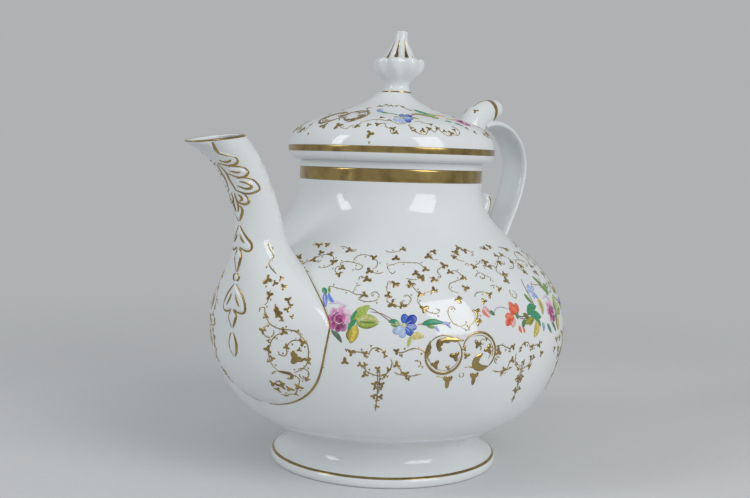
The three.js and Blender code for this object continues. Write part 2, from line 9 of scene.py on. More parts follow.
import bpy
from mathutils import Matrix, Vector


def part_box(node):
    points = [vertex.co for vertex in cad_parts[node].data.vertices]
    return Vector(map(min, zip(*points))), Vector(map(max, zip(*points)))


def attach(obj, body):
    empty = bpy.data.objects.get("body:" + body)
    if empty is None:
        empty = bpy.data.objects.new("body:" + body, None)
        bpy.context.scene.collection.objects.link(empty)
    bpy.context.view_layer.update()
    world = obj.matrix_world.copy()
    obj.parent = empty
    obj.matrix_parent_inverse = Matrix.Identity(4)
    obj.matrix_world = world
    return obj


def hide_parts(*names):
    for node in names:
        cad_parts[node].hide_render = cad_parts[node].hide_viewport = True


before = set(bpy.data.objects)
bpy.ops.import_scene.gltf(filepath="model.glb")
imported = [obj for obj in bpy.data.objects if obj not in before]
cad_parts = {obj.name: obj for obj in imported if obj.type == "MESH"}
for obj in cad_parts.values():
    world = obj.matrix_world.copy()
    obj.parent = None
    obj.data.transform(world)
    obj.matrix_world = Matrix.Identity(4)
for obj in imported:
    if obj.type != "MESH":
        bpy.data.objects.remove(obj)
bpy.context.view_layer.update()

# %% [markdown]
# ## Tools and the pot's own axis
# The frame has its origin under the middle of the whole length, spout and handle included. The pot was
# turned about its own upright axis, which is read here from the box of its round foot. All shapes below
# are worked out in millimetres about that axis, and moved to the frame when they become meshes.

# %% Tools, units and the pot's axis
from math import cos, pi, radians, sin, tan

import bpy
import numpy as np
from mathutils import Matrix, Vector

MM = 0.001
foot_low, foot_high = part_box("foot_ring")
AXIS_X = (foot_low.x + foot_high.x) / 2 / MM
LUTE_GAP = 0.3
print("the pot's own axis stands at x =", round(AXIS_X, 2), "mm")

# %% [markdown]
# ## The camera
# The photograph was taken with a normal lens about half a metre away, with the camera at the height of
# the neck and tipped down a little. The camera turns about the pot's axis, so it is placed by an angle
# round the pot, a distance and a height, and then turned by three small angles that fit the picture.

# %% Camera
VIEW_ROUND = radians(-48.0)
VIEW_DISTANCE = 500.0
VIEW_HEIGHT = 144.0
VIEW_YAW = radians(0.749)
VIEW_PITCH = radians(4.927)
VIEW_ROLL = radians(-1.681)
LENS = 50.0
SENSOR_WIDTH = 36.0
NEAREST_SEEN = 0.01


def turn_pair(first, second, angle):
    """Turns two square directions in their own plane: first leans towards minus second."""
    return first * cos(angle) - second * sin(angle), second * cos(angle) + first * sin(angle)


forward = np.array([-sin(VIEW_ROUND), cos(VIEW_ROUND), 0.0])
right = np.array([cos(VIEW_ROUND), sin(VIEW_ROUND), 0.0])
up = np.array([0.0, 0.0, 1.0])
forward, right = turn_pair(forward, right, VIEW_YAW)
forward, up = turn_pair(forward, up, VIEW_PITCH)
right, up = turn_pair(right, up, VIEW_ROLL)
eye = np.array([
    AXIS_X + VIEW_DISTANCE * sin(VIEW_ROUND),
    -VIEW_DISTANCE * cos(VIEW_ROUND),
    VIEW_HEIGHT,
])

camera = bpy.data.objects.new("camera", bpy.data.cameras.new("camera"))
bpy.context.scene.collection.objects.link(camera)
camera.data.lens = LENS
camera.data.sensor_width = SENSOR_WIDTH
camera.data.clip_start = NEAREST_SEEN
camera.matrix_world = Matrix.Translation(Vector(eye * MM)) @ Matrix(
    np.column_stack([right, up, -forward]).tolist()).to_4x4()
bpy.context.scene.camera = camera
print("camera at", np.round(eye, 1), "mm")

# %% [markdown]
# ## Curves
# The outlines of a pot are long, easy curves. Each one here is a run of cubic Bezier curves, four points
# each, in the plane of the radius and the height. The whole run is worked out at once, as an array.

# %% Runs of curves


def bend(curve, share):
    """A cubic Bezier: the four points weighed by (1-t)^3, 3t(1-t)^2, 3t^2(1-t) and t^3."""
    t = np.asarray(share, float)[..., None]
    start, pull_out, pull_in, end = (np.asarray(p, float) for p in curve)
    return (start * (1 - t) ** 3 + 3 * pull_out * t * (1 - t) ** 2
            + 3 * pull_in * t * t * (1 - t) + end * t ** 3)


def run(curves, place):
    """Points of a run of curves: place 0 is the start, and each whole number ends one curve."""
    place = np.asarray(place, float)
    index = np.clip(place.astype(int), 0, len(curves) - 1)
    every = np.stack([bend(curve, place - i) for i, curve in enumerate(curves)])
    return np.take_along_axis(every, index[None, ..., None], axis=0)[0]


def lengths(points):
    """Distance along a line of points, from its first one."""
    return np.concatenate([[0.0], np.cumsum(np.linalg.norm(np.diff(points, axis=0), axis=1))])


def read_along(stops, along, points):
    """Points of a line at some distances, where along holds the distance of each of its own points."""
    return np.column_stack([np.interp(stops, along, column) for column in points.T])


def unit(vectors):
    """The vectors, each made one long."""
    return vectors / np.maximum(np.linalg.norm(vectors, axis=-1, keepdims=True), 1e-12)


def full_turn(count):
    """Angles in even steps all the way round, without the last one that would meet the first."""
    return np.arange(count) * 2 * pi / count


def sideways(points, distance):
    """The line of points moved to its left: each point goes along the normal of its two neighbours."""
    along = unit(np.gradient(points, axis=0))
    return points + distance * np.column_stack([-along[:, 1], along[:, 0]])


# %% [markdown]
# ## From numbers to a mesh
# Every piece is a row of rings with the same number of points. Neighbouring rings are joined by
# four-sided faces, and an end is closed by a fan to its middle. If the volume comes out negative, the
# faces point inwards, and all of them are turned round at once.

# %% Mesh helpers


def ring_faces(rows, around, joined=False):
    """Quads between rings: corner (row, i) goes to (row, i+1), (row+1, i+1) and (row+1, i)."""
    row, i = np.meshgrid(np.arange(rows if joined else rows - 1), np.arange(around), indexing="ij")
    after, beside = (row + 1) % rows, (i + 1) % around
    corners = [row * around + i, row * around + beside, after * around + beside, after * around + i]
    return np.stack(corners, axis=-1).reshape(-1, 4)


def capped_faces(rows, around):
    """Faces of an open row of rings: its quads, and a fan at each end to one of two spots that come last."""
    i = np.arange(around)
    beside, last, tip = (i + 1) % around, (rows - 1) * around, rows * around
    fans = [
        np.column_stack([np.full(around, tip), beside, i]),
        np.column_stack([np.full(around, tip + 1), last + i, last + beside]),
    ]
    return [ring_faces(rows, around), np.vstack(fans)]


def volume_of(points, faces):
    """Signed volume: the sum over the faces of corner . (corner x corner) / 6."""
    a, b, c = (points[faces[:, k]] for k in range(3))
    volume = np.einsum("ij,ij->i", a, np.cross(b, c)).sum()
    if faces.shape[1] == 4:
        d = points[faces[:, 3]]
        volume += np.einsum("ij,ij->i", a, np.cross(c, d)).sum()
    return volume / 6


def faced_outwards(points, face_sets):
    """The faces of a closed shape, turned round if its signed volume is negative."""
    if sum(volume_of(points, faces) for faces in face_sets) < 0:
        return [faces[:, ::-1] for faces in face_sets]
    return face_sets


def make_mesh(name, points, face_sets):
    """A smooth mesh object from points in millimetres about the pot's axis, and arrays of faces."""
    points = np.asarray(points, float)
    face_sets = faced_outwards(points, face_sets)
    mesh = bpy.data.meshes.new(name)
    mesh.vertices.add(len(points))
    placed = (points + [AXIS_X, 0, 0]) * MM
    mesh.vertices.foreach_set("co", placed.astype(np.float32).ravel())
    corners = np.concatenate([faces.ravel() for faces in face_sets])
    sizes = np.concatenate([np.full(len(faces), faces.shape[1]) for faces in face_sets])
    mesh.loops.add(len(corners))
    mesh.loops.foreach_set("vertex_index", corners.astype(np.int32))
    mesh.polygons.add(len(sizes))
    mesh.polygons.foreach_set("loop_start", (np.cumsum(sizes) - sizes).astype(np.int32))
    mesh.update(calc_edges=True)
    mesh.validate()
    mesh.polygons.foreach_set("use_smooth", np.full(len(mesh.polygons), True))
    piece = bpy.data.objects.new(name, mesh)
    bpy.context.scene.collection.objects.link(piece)
    return piece


def loft(name, rings, joined=False):
    """A closed piece through rings: joined makes the last ring meet the first, or else both ends get fans."""
    rows, around = rings.shape[:2]
    points = rings.reshape(-1, 3)
    if joined:
        return make_mesh(name, points, [ring_faces(rows, around, True)])
    tips = np.stack([rings[0].mean(axis=0), rings[-1].mean(axis=0)])
    return make_mesh(name, np.vstack([points, tips]), capped_faces(rows, around))


def turned(outline, turns):
    """Rings of a turned shape: the outline (radius, height) carried round the axis."""
    angle = full_turn(turns)
    radius, height = outline[:, :1], outline[:, 1:]
    return np.stack([radius * np.cos(angle), radius * np.sin(angle), height + 0 * angle], axis=-1)


def seat_piece(piece, body, slot, material, *nodes):
    """Gives a finished piece its body and its material, and hides the CAD nodes it stands for; slot is not
    used.
    """
    piece.data.materials.clear()
    piece.data.materials.append(material)
    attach(piece, body)
    if nodes:
        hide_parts(*nodes)
    print(piece.name, "has", len(piece.data.polygons), "faces")
    return piece

# %% [markdown]
# ## The glaze
# Porcelain is a white body under a clear glossy glaze. The white isn't even: it has faint cloudy
# patches and, here and there, a speck of ash from the kiln. The glaze lies in very slow waves, so
# that reflections of straight lamps wobble a little. All of it is made from noise on the object's own
# coordinates, so that it stays put on the pot from every side.

# %% Glaze, biscuit and gold materials
MIX_SHARE, MIX_FIRST, MIX_SECOND, MIX_COLOUR = 0, 6, 7, 2
CLOUD_SCALE = 28.0
SPECK_SCALE = 190.0
SPECK_SIZE = 0.055
SPECK_RARITY = 0.69
RARITY_SCALE = 75.0
SHINE_SCALE = 60.0
WAVE_SCALE = 45.0
GLAZE_WAVE = 0.0006
GLAZE_IOR = 1.52
WEAR_SCALE = 160.0
GRAIN_SCALE = 500.0
GOLD_GRAIN = 0.0001


def fill(node, inputs):
    """Sets a node's inputs, by name or by number, to values, or links them to other nodes' outputs."""
    for key, value in inputs.items():
        if isinstance(value, bpy.types.NodeSocket):
            node.id_data.links.new(value, node.inputs[key])
        else:
            node.inputs[key].default_value = value
    return node


def adder(tree):
    """A function that adds a node to the tree, with its settings and its inputs by number and by name."""
    def add(kind, settings=(), numbered=(), **named):
        node = tree.nodes.new(kind)
        for key, value in dict(settings).items():
            setattr(node, key, value)
        fill(node, dict(numbered))
        return fill(node, {key.replace("_", " "): value for key, value in named.items()})

    return add


def new_material(name):
    """A new material, its shader, a function that adds nodes, and the spot's place on its object."""
    material = bpy.data.materials.new(name)
    material.use_nodes = True
    add = adder(material.node_tree)
    places = add("ShaderNodeTexCoord").outputs["Object"]
    return material, material.node_tree.nodes["Principled BSDF"], add, places


def noise_of(add, places, scale, detail=3.0):
    """Cloudy noise with that many patches to the metre."""
    return add("ShaderNodeTexNoise", Vector=places, Scale=scale, Detail=detail).outputs["Fac"]


def ramp_of(add, factor, stops):
    """A colour ramp with (place, colour) stops."""
    ramp = add("ShaderNodeValToRGB", Fac=factor)
    while len(ramp.color_ramp.elements) < len(stops):
        ramp.color_ramp.elements.new(0.5)
    for element, (place, colour) in zip(ramp.color_ramp.elements, stops):
        element.position = place
        element.color = (*colour, 1.0)
    return ramp.outputs["Color"]


def spread_of(add, factor, low, high):
    """The factor 0..1 spread between two values."""
    return add("ShaderNodeMapRange", Value=factor, To_Min=low, To_Max=high).outputs["Result"]


def bump_of(add, strength, distance, height):
    """A bumped normal from a height between 0 and 1."""
    return add("ShaderNodeBump", Strength=strength, Distance=distance, Height=height).outputs["Normal"]


def math_of(add, operation, first, second):
    """The result of a sum or a comparison of two values."""
    return add("ShaderNodeMath", {"operation": operation}, {0: first, 1: second}).outputs[0]


def mix_of(add, share, first, second):
    """Two colours blended by a share."""
    inputs = {MIX_SHARE: share, MIX_FIRST: first, MIX_SECOND: second}
    return add("ShaderNodeMix", {"data_type": "RGBA"}, inputs).outputs[MIX_COLOUR]


def porcelain(name, cloud, pale, speck, roughness, wave):
    """Clouds of two close whites, sparse dark specks, and slow waves in the surface."""
    material, shader, add, places = new_material(name)
    clouds = ramp_of(add, noise_of(add, places, CLOUD_SCALE), [(0.35, cloud), (0.65, pale)])
    grains = add("ShaderNodeTexVoronoi", Vector=places, Scale=SPECK_SCALE).outputs["Distance"]
    near = math_of(add, "LESS_THAN", grains, SPECK_SIZE)
    few = math_of(add, "GREATER_THAN", noise_of(add, places, RARITY_SCALE, 1.0), SPECK_RARITY)
    is_speck = math_of(add, "MULTIPLY", near, few)
    fill(shader, {
        "Base Color": mix_of(add, is_speck, clouds, (*speck, 1.0)),
        "Roughness": spread_of(add, noise_of(add, places, SHINE_SCALE), *roughness),
        "Normal": bump_of(add, wave, GLAZE_WAVE, noise_of(add, places, WAVE_SCALE, 2.0)),
        "IOR": GLAZE_IOR,
    })
    return material


def burnished_gold(name, bright, worn, roughness):
    """Metal whose colour goes to a browner, duller gold where the burnishing has worn."""
    material, shader, add, places = new_material(name)
    wear = noise_of(add, places, WEAR_SCALE, 6.0)
    fill(shader, {
        "Base Color": ramp_of(add, wear, [(0.30, worn), (0.60, bright)]),
        "Roughness": spread_of(add, wear, roughness[1], roughness[0]),
        "Normal": bump_of(add, 0.12, GOLD_GRAIN, noise_of(add, places, GRAIN_SCALE)),
        "Metallic": 1.0,
    })
    return material


WHITE_CLOUD = (0.735, 0.765, 0.775)
WHITE_PALE = (0.775, 0.80, 0.805)
glaze = porcelain("glaze", WHITE_CLOUD, WHITE_PALE, (0.30, 0.27, 0.22), (0.05, 0.10), 0.2)
biscuit = porcelain("biscuit", (0.62, 0.60, 0.55), (0.70, 0.68, 0.63), (0.40, 0.34, 0.26), (0.55, 0.7),
                    0.8)
gold = burnished_gold("burnished_gold", (0.44, 0.325, 0.125), (0.25, 0.175, 0.07), (0.14, 0.26))

# %% [markdown]
# ## The belly
# The body was thrown or moulded as a round shell about three millimetres thick. Its outline climbs from
# the flat underside through a full belly to a straight neck. The shell is one closed profile: up the
# outside, round the rim, and down the inside, which is the outside moved in by the wall.

# %% Body of the pot
BELLY_R = 84.4
BELLY_Z = 65.5
UNDERSIDE = (51.0, 20.3)
NECK_R = 43.4
RIM_Z = 144.0
NECK_FOOT_Z = RIM_Z - 13.0
RIM_ROUND = 0.9
RIM_STEPS = 7
BODY_WALL = 3.2
BODY_TURNS = 220

lower_belly = [
    UNDERSIDE, (UNDERSIDE[0] + 20.5, UNDERSIDE[1] + 1), (BELLY_R, BELLY_Z - 19.4), (BELLY_R, BELLY_Z)]
upper_belly = [
    (BELLY_R, BELLY_Z), (BELLY_R, BELLY_Z + 36.7), (NECK_R, NECK_FOOT_Z - 23.9), (NECK_R, NECK_FOOT_Z)]
belly_line = run([lower_belly, upper_belly], np.linspace(0, 2, 141))


def rounded_rim(radius, wall, top, roundness):
    """Two quarter circles that carry the outside over the rim to the inside."""
    turn = np.linspace(0, pi / 2, RIM_STEPS)
    across, up = roundness * np.cos(turn), roundness * np.sin(turn)
    outer = np.column_stack([radius - roundness + across, top - roundness + up])
    inner = np.column_stack([radius - wall + roundness - up, top - roundness + across])
    return np.vstack([outer, inner])


def flat_disc(radius, height, shares=(0.02, 0.25, 0.5, 0.75, 0.92)):
    """Rings of a flat disc, from near its middle out to near its edge."""
    return np.column_stack([np.array(shares) * radius, np.full(len(shares), height)])


inner_line = sideways(belly_line, BODY_WALL)[::-1]
inner_line = inner_line[inner_line[:, 1] > UNDERSIDE[1] + BODY_WALL]
body_outline = np.vstack([
    flat_disc(*UNDERSIDE),
    belly_line,
    np.column_stack([np.full(5, NECK_R), np.linspace(NECK_FOOT_Z, RIM_Z - RIM_ROUND, 6)[1:]]),
    rounded_rim(NECK_R, BODY_WALL, RIM_Z, RIM_ROUND),
    np.column_stack([np.full(5, NECK_R - BODY_WALL), np.linspace(RIM_Z - RIM_ROUND, NECK_FOOT_Z, 6)[:-1]]),
    inner_line,
    flat_disc(inner_line[-1, 0], UNDERSIDE[1] + BODY_WALL)[::-1],
])
pot_shell = loft("pot_shell", turned(body_outline, BODY_TURNS))

# %% [markdown]
# ## The foot
# The foot is a turned ring with a flared rim and a drawn-in waist. Its outline comes back on itself, so
# the last ring meets the first and no end is left open.

# %% Foot ring
FOOT_R = 54.4
FOOT_TREAD_R = 53.0
FOOT_RIM_TOP_Z = 4.7
FOOT_WAIST = (46.9, 12.0)
FOOT_TOP = (49.8, UNDERSIDE[1] - 0.05)
FOOT_WALL = 4.6

foot_outside = run([
    [(FOOT_TREAD_R, 0), (FOOT_R, 0.3), (FOOT_R, 1.6), (FOOT_R, 2.6)],
    [(FOOT_R, 2.6), (FOOT_R, 3.6), (FOOT_R - 0.5, FOOT_RIM_TOP_Z - 0.4), (FOOT_R - 1.1, FOOT_RIM_TOP_Z)],
    [(FOOT_R - 1.1, FOOT_RIM_TOP_Z), (FOOT_R - 4, FOOT_RIM_TOP_Z + 1.6), (FOOT_WAIST[0], FOOT_WAIST[1] - 3.5),
     FOOT_WAIST],
    [FOOT_WAIST, (FOOT_WAIST[0], FOOT_WAIST[1] + 3.5), (FOOT_TOP[0] - 0.8, FOOT_TOP[1] - 2.5), FOOT_TOP],
], np.linspace(0, 4, 57))
foot_inside = run([
    [(FOOT_TOP[0] - FOOT_WALL, FOOT_TOP[1]), (FOOT_WAIST[0] - FOOT_WALL, FOOT_WAIST[1] + 2),
     (FOOT_WAIST[0] - FOOT_WALL, FOOT_WAIST[1] - 3), (FOOT_TREAD_R - 3.6, 0)],
], np.linspace(0, 1, 21))
foot = loft("turned_foot", turned(np.vstack([foot_outside, foot_inside]), BODY_TURNS), joined=True)
seat_piece(foot, "pot", "white_glaze", glaze, "foot_ring")

# %% [markdown]
# ## The spout
# The spout was cast hollow. Its front ridge, its back and its half width are three runs of curves along
# it, and each section is an oval between them. Where the root swells, the front of the section is drawn
# in to a soft ridge by raising the cosine to a power. The skin goes up the outside, over a round lip and
# down the inside as one closed surface, and then the belly is cut away from it, as a potter trims the
# root to fit. The same sums, asked for a distance from the lip and a distance from the ridge, give a
# map of the spout on which its relief leaves and its gilding are drawn later.

# %% Spout curves
SPOUT_WALL = 2.8
BULB_FRONT = np.array([BELLY_R + 11.4, BELLY_Z + 7.5])
BULB_BACK = BULB_FRONT - [42.0, 0]
BULB_HALF_WIDTH = 37.0
TUBE_FRONT = np.array([BELLY_R + 8.4, BELLY_Z + 45.5])
TUBE_BACK = TUBE_FRONT - [22.0, 0]
TUBE_HALF_WIDTH = 9.9
LIP_FRONT = np.array([BELLY_R + 35.9, BELLY_Z + 83.5])
LIP_BACK = LIP_FRONT + [-26.8, 4.0]
LIP_HALF_WIDTH = 9.8
ROOT_FRONT = np.array([BELLY_R - 18.4, BELLY_Z - 32.5])
ROOT_BACK = ROOT_FRONT - [24.0, 0]
WIDEST_SHARE = 0.48
BULB_PEAK = 0.7

ridge_line = [
    (ROOT_FRONT, ROOT_FRONT + [20.4, 6.5], BULB_FRONT - [0, 19], BULB_FRONT),
    (BULB_FRONT, BULB_FRONT + [0, 13], TUBE_FRONT - [0, 12], TUBE_FRONT),
    (TUBE_FRONT, TUBE_FRONT + [0, 22], LIP_FRONT - [14, 3.5], LIP_FRONT),
]
back_line = [
    (ROOT_BACK, ROOT_BACK + [4, 8], BULB_BACK - [0, 19], BULB_BACK),
    (BULB_BACK, BULB_BACK + [0, 13], TUBE_BACK - [6, 12], TUBE_BACK),
    (TUBE_BACK, TUBE_BACK + [4, 18], LIP_BACK - [10, 8], LIP_BACK),
]
half_widths = [
    [(0, 14.0), (0, BULB_HALF_WIDTH), (0, BULB_HALF_WIDTH), (0, BULB_HALF_WIDTH)],
    [(0, BULB_HALF_WIDTH), (0, BULB_HALF_WIDTH), (0, TUBE_HALF_WIDTH), (0, TUBE_HALF_WIDTH)],
    [(0, TUBE_HALF_WIDTH), (0, TUBE_HALF_WIDTH - 1.6), (0, LIP_HALF_WIDTH - 1.2), (0, LIP_HALF_WIDTH)],
]


def spout_rings(place, angle, inset=0.0):
    """Sections of the spout: middle + (ridge - middle) cos^p in front, + (back - middle) cos behind."""
    front, rear = run(ridge_line, place), run(back_line, place)
    width = run(half_widths, place)[:, 1]
    swell = np.maximum(0, (width - TUBE_HALF_WIDTH) / (BULB_HALF_WIDTH - TUBE_HALF_WIDTH))
    middle = front + (rear - front) * WIDEST_SHARE
    inset = np.broadcast_to(inset, width.shape)
    shrink = [1 - inset / np.linalg.norm(end - middle, axis=1) for end in (front, rear)]
    cosine = np.cos(angle)[None, :]
    ahead = np.maximum(cosine, 0) ** (1 + BULB_PEAK * swell)[:, None] * shrink[0][:, None]
    behind = np.maximum(-cosine, 0) * shrink[1][:, None]
    plane = (middle[:, None] + (front - middle)[:, None] * ahead[..., None]
             + (rear - middle)[:, None] * behind[..., None])
    side = -(width * (1 - inset / width))[:, None] * np.sin(angle)[None, :]
    return np.stack([-plane[..., 0], side, plane[..., 1]], axis=-1)


def normals_of(grid, closed=True):
    """Unit normals of a grid: the cross product of its two directions, wrapped round each ring."""
    down = np.gradient(grid, axis=0)
    if closed:
        across = (np.roll(grid, -1, axis=1) - np.roll(grid, 1, axis=1)) / 2
    else:
        across = np.gradient(grid, axis=1)
    return unit(np.cross(across, down))


# %% [markdown]
# ## A map of the spout
# To draw on the spout, each spot gets two distances in millimetres: one from the lip along the ridge,
# and one from the ridge round the side, positive on the side that faces the camera. A table of the
# surface at even steps of both is worked out below, once the relief leaves are known, and any spot is
# read from it between its neighbours.

# %% The spout's map
MAP_ROWS = 600
MAP_STEP = 0.5
MAP_REACH = 60.0
LAST_CELL = 1.001

map_places = np.linspace(0, 3, MAP_ROWS)
map_angles = np.linspace(0, pi, 241)
map_grid = spout_rings(map_places, map_angles)
map_from_lip = lengths(run(ridge_line, map_places))
map_from_lip = map_from_lip[-1] - map_from_lip
map_round = np.concatenate([np.zeros((MAP_ROWS, 1)), np.cumsum(
    np.linalg.norm(np.diff(map_grid, axis=1), axis=2), axis=1)], axis=1)
map_across = np.arange(0, MAP_REACH, MAP_STEP)


def even_table(grid):
    """The grid's points read off at even distances from the ridge, row by row."""
    return np.stack([
        read_along(map_across, distances, points) for distances, points in zip(map_round, grid)])


def blended(table, row, column):
    """The table read at broken rows and columns: each value is blended from its four nearest entries."""
    row = np.clip(row, 0, table.shape[0] - LAST_CELL)
    column = np.clip(column, 0, table.shape[1] - LAST_CELL)
    r, c = row.astype(int), column.astype(int)
    fr, fc = (row - r)[..., None], (column - c)[..., None]
    near = table[r, c] * (1 - fc) + table[r, c + 1] * fc
    far = table[r + 1, c] * (1 - fc) + table[r + 1, c + 1] * fc
    return near * (1 - fr) + far * fr


def spout_spot(from_lip, across):
    """Points on the spout at two distances, read from its table."""
    row = np.interp(from_lip, map_from_lip[::-1], np.arange(MAP_ROWS)[::-1])
    spot = blended(map_table, row, np.abs(across) / MAP_STEP)
    spot[..., 1] *= np.where(across < 0, -1, 1)
    return spot


print("the ridge is", round(map_from_lip[0], 1), "mm long from lip to hidden end")

# %% [markdown]
# ## Relief leaves on the ridge
# A chain of leaves lies down the front of the spout, standing about half a millimetre proud. Each one
# is drawn once as an edge on the spout's map and mirrored about the ridge. The clay rises from that
# edge by a smooth step of the distance to it, so the leaf has a soft, glazed-over border.

# %% Leaf edges and relief


def through(points, steps=8):
    """A smooth line through points: the Catmull-Rom spline, steps spots for each stretch."""
    points = np.asarray(points, float)
    padded = np.vstack([2 * points[:1] - points[1:2], points, 2 * points[-1:] - points[-2:-1]])
    a, b, c, d = (padded[k:len(padded) - 3 + k][:, None] for k in range(4))
    t = (np.arange(steps) / steps)[None, :, None]
    line = 0.5 * (2 * b + (c - a) * t + (2 * a - 5 * b + 4 * c - d) * t ** 2
                  + (3 * b - a - 3 * c + d) * t ** 3)
    return np.vstack([line.reshape(-1, points.shape[1]), points[-1:]])


LIP_LEAF = [
    (1.5, 8.8), (5.5, 7.4), (9.5, 6.2), (11.6, 8.6), (13.6, 10.8), (16.2, 10.6), (18.6, 6.0), (19.6, 5.4),
    (20.4, 9.4), (22.2, 11.2), (24.6, 9.6), (26.0, 5.2), (26.4, 9.6), (28.4, 12.4), (30.6, 12.2),
    (32.8, 8.4), (33.6, 4.6), (35.2, 6.8), (37.2, 6.4), (38.6, 3.2), (40.6, 2.8), (43.0, 2.2),
    (45.0, 0.0)]
THROAT_LEAF = [
    (45.5, 0.0), (49.0, 1.8), (53.0, 4.8), (55.6, 6.2), (57.2, 4.4), (57.0, 1.2), (60.5, 2.8),
    (64.0, 1.4), (66.5, 0.0)]
RIDGE_BEAD = (68.3, 1.6)
ROOT_LEAF = [
    (70.0, 0.0), (73.0, 2.2), (77.0, 5.4), (80.6, 7.2), (82.8, 6.0), (82.6, 2.0), (85.6, 3.0),
    (88.0, 1.6), (90.0, 0.0)]
TEAR_LEAF = [
    (91.0, 0.0), (93.5, 1.8), (97.5, 3.0), (100.5, 1.8), (102.5, 0.0)]
LEAF_RISE = 0.55
LEAF_SLOPE = 1.2
LEAF_MARGIN = 1


def mirrored(edge):
    """The whole outline: the edge on one side of the ridge and back up the other."""
    half = through(edge)
    return np.vstack([half, (half * [1, -1])[::-1][1:]])


def outline_distance(spots, outline):
    """Distance of each spot to the closed outline, positive inside: nearest of all its straight pieces."""
    start, end = outline, np.roll(outline, -1, axis=0)
    piece = end - start
    to_spot = spots[:, None] - start[None]
    share = np.clip((to_spot * piece).sum(-1) / np.maximum((piece ** 2).sum(-1), 1e-9), 0, 1)
    nearest = np.linalg.norm(to_spot - share[..., None] * piece, axis=-1).min(axis=1)
    above = (start[:, 1] > spots[:, None, 1]) != (end[:, 1] > spots[:, None, 1])
    crossing = start[:, 0] + (spots[:, None, 1] - start[:, 1]) * piece[:, 0] / np.where(
        piece[:, 1] == 0, 1e-9, piece[:, 1])
    inside = (above & (spots[:, None, 0] < crossing)).sum(axis=1) % 2 == 1
    return np.where(inside, nearest, -nearest)


bead_turn = full_turn(24)
bead_place, bead_radius = RIDGE_BEAD
bead_edge = np.column_stack([bead_place + bead_radius * np.cos(bead_turn), bead_radius * np.sin(bead_turn)])
leaf_outlines = [mirrored(edge) for edge in (LIP_LEAF, THROAT_LEAF, ROOT_LEAF, TEAR_LEAF)] + [bead_edge]


def relief(from_lip, across):
    """Height of the clay over the plain spout: a smooth step of the distance inside each leaf's edge."""
    height = np.zeros(from_lip.shape)
    for outline in leaf_outlines:
        low, high = outline.min(axis=0) - LEAF_MARGIN, outline.max(axis=0) + LEAF_MARGIN
        near = (from_lip > low[0]) & (from_lip < high[0]) & (across > low[1]) & (across < high[1])
        inside = outline_distance(np.column_stack([from_lip[near], across[near]]), outline)
        share = np.clip(inside / LEAF_SLOPE, 0, 1)
        height[near] = np.maximum(height[near], LEAF_RISE * share * share * (3 - 2 * share))
    return height


map_spots = map_from_lip[:, None] + 0 * map_round
map_relief = relief(map_spots, map_round)[..., None]
map_table = even_table(map_grid + normals_of(map_grid, False) * map_relief)

# %% [markdown]
# ## The spout as a piece
# The points of each section crowd towards the ridge, because the relief leaves need fine faces there.
# The outside, the round lip and the inside are stacked as one run of rings. A boolean cut then trims the
# root to the belly, and the new edges are marked as sharp.

# %% Spout piece
SPOUT_ROWS = 330
SPOUT_AROUND = 180
SPOUT_FROM, SPOUT_END = 0.15, 3
HOLLOW_FROM = 0.4
LIP_ROUND_SHARE = 0.026
LIP_PLACE = SPOUT_END - LIP_ROUND_SHARE
RIDGE_CROWDING = 0.42
CUT_EDGE_ANGLE = radians(50)

even = full_turn(SPOUT_AROUND)
spout_angle = even - RIDGE_CROWDING * np.sin(even)
outer_place = np.linspace(SPOUT_FROM, LIP_PLACE, SPOUT_ROWS)
outer = spout_rings(outer_place, spout_angle)
ring_steps = np.linalg.norm(np.diff(outer, axis=1, append=outer[:, :1]), axis=2)
round_front = np.concatenate([np.zeros((SPOUT_ROWS, 1)), np.cumsum(ring_steps, axis=1)[:, :-1]], axis=1)
whole_round = ring_steps.sum(axis=1, keepdims=True)
outer_across = np.where(round_front > whole_round / 2, round_front - whole_round, round_front)
outer_from_lip = np.interp(outer_place, map_places, map_from_lip)[:, None] + 0 * outer_across
outer = outer + normals_of(outer) * relief(outer_from_lip, outer_across)[..., None]
lip_turn = np.linspace(0, pi, 9)[1:-1]
lip = spout_rings(LIP_PLACE + LIP_ROUND_SHARE * np.sin(lip_turn), spout_angle,
                  SPOUT_WALL / 2 * (1 - np.cos(lip_turn)))
inner = spout_rings(np.linspace(LIP_PLACE, HOLLOW_FROM, 70), spout_angle, SPOUT_WALL)
spout = loft("pouring_spout", np.vstack([outer, lip, inner]))


def cut_away(piece, *cutters):
    """Takes the cutters' volumes out of the piece for good, and marks the new edges as sharp."""
    for cutter in cutters:
        cut = piece.modifiers.new("cut", "BOOLEAN")
        cut.operation = "DIFFERENCE"
        cut.solver = "EXACT"
        cut.object = cutter
    finished = bpy.data.meshes.new_from_object(piece.evaluated_get(bpy.context.evaluated_depsgraph_get()))
    piece.modifiers.clear()
    piece.data = finished
    finished.polygons.foreach_set("use_smooth", np.full(len(finished.polygons), True))
    finished.set_sharp_from_angle(angle=CUT_EDGE_ANGLE)


JOIN_DEPTH = 0.5
cut_line = sideways(belly_line, JOIN_DEPTH)
body_cutter = loft("body_cutter", turned(np.vstack([
    flat_disc(cut_line[0, 0], cut_line[0, 1], (0.02, 0.9)), cut_line[::2], [(NECK_R - JOIN_DEPTH, RIM_Z + 1)],
    flat_disc(NECK_R - JOIN_DEPTH, RIM_Z + 1, (0.9, 0.02)),
]), 160))
cut_away(spout, body_cutter)
seat_piece(spout, "pot", "decorated_glaze", glaze, "spout")

# %% [markdown]
# ## Strainer holes
# Behind the spout the wall is pierced with seven holes, one in the middle and six round it, which hold
# the tea leaves back. They are drilled through the finished shell with seven pegs along X.

# %% Strainer
STRAINER_HOLE_R = 2.6
STRAINER_PITCH = 9.0
STRAINER_Z = 66.0
PEG_OUTSIDE = [BELLY_R + 6, 0, 0]
PEG_INSIDE = [BELLY_R - 16, 0, 0]
PEG_SIDES = 24

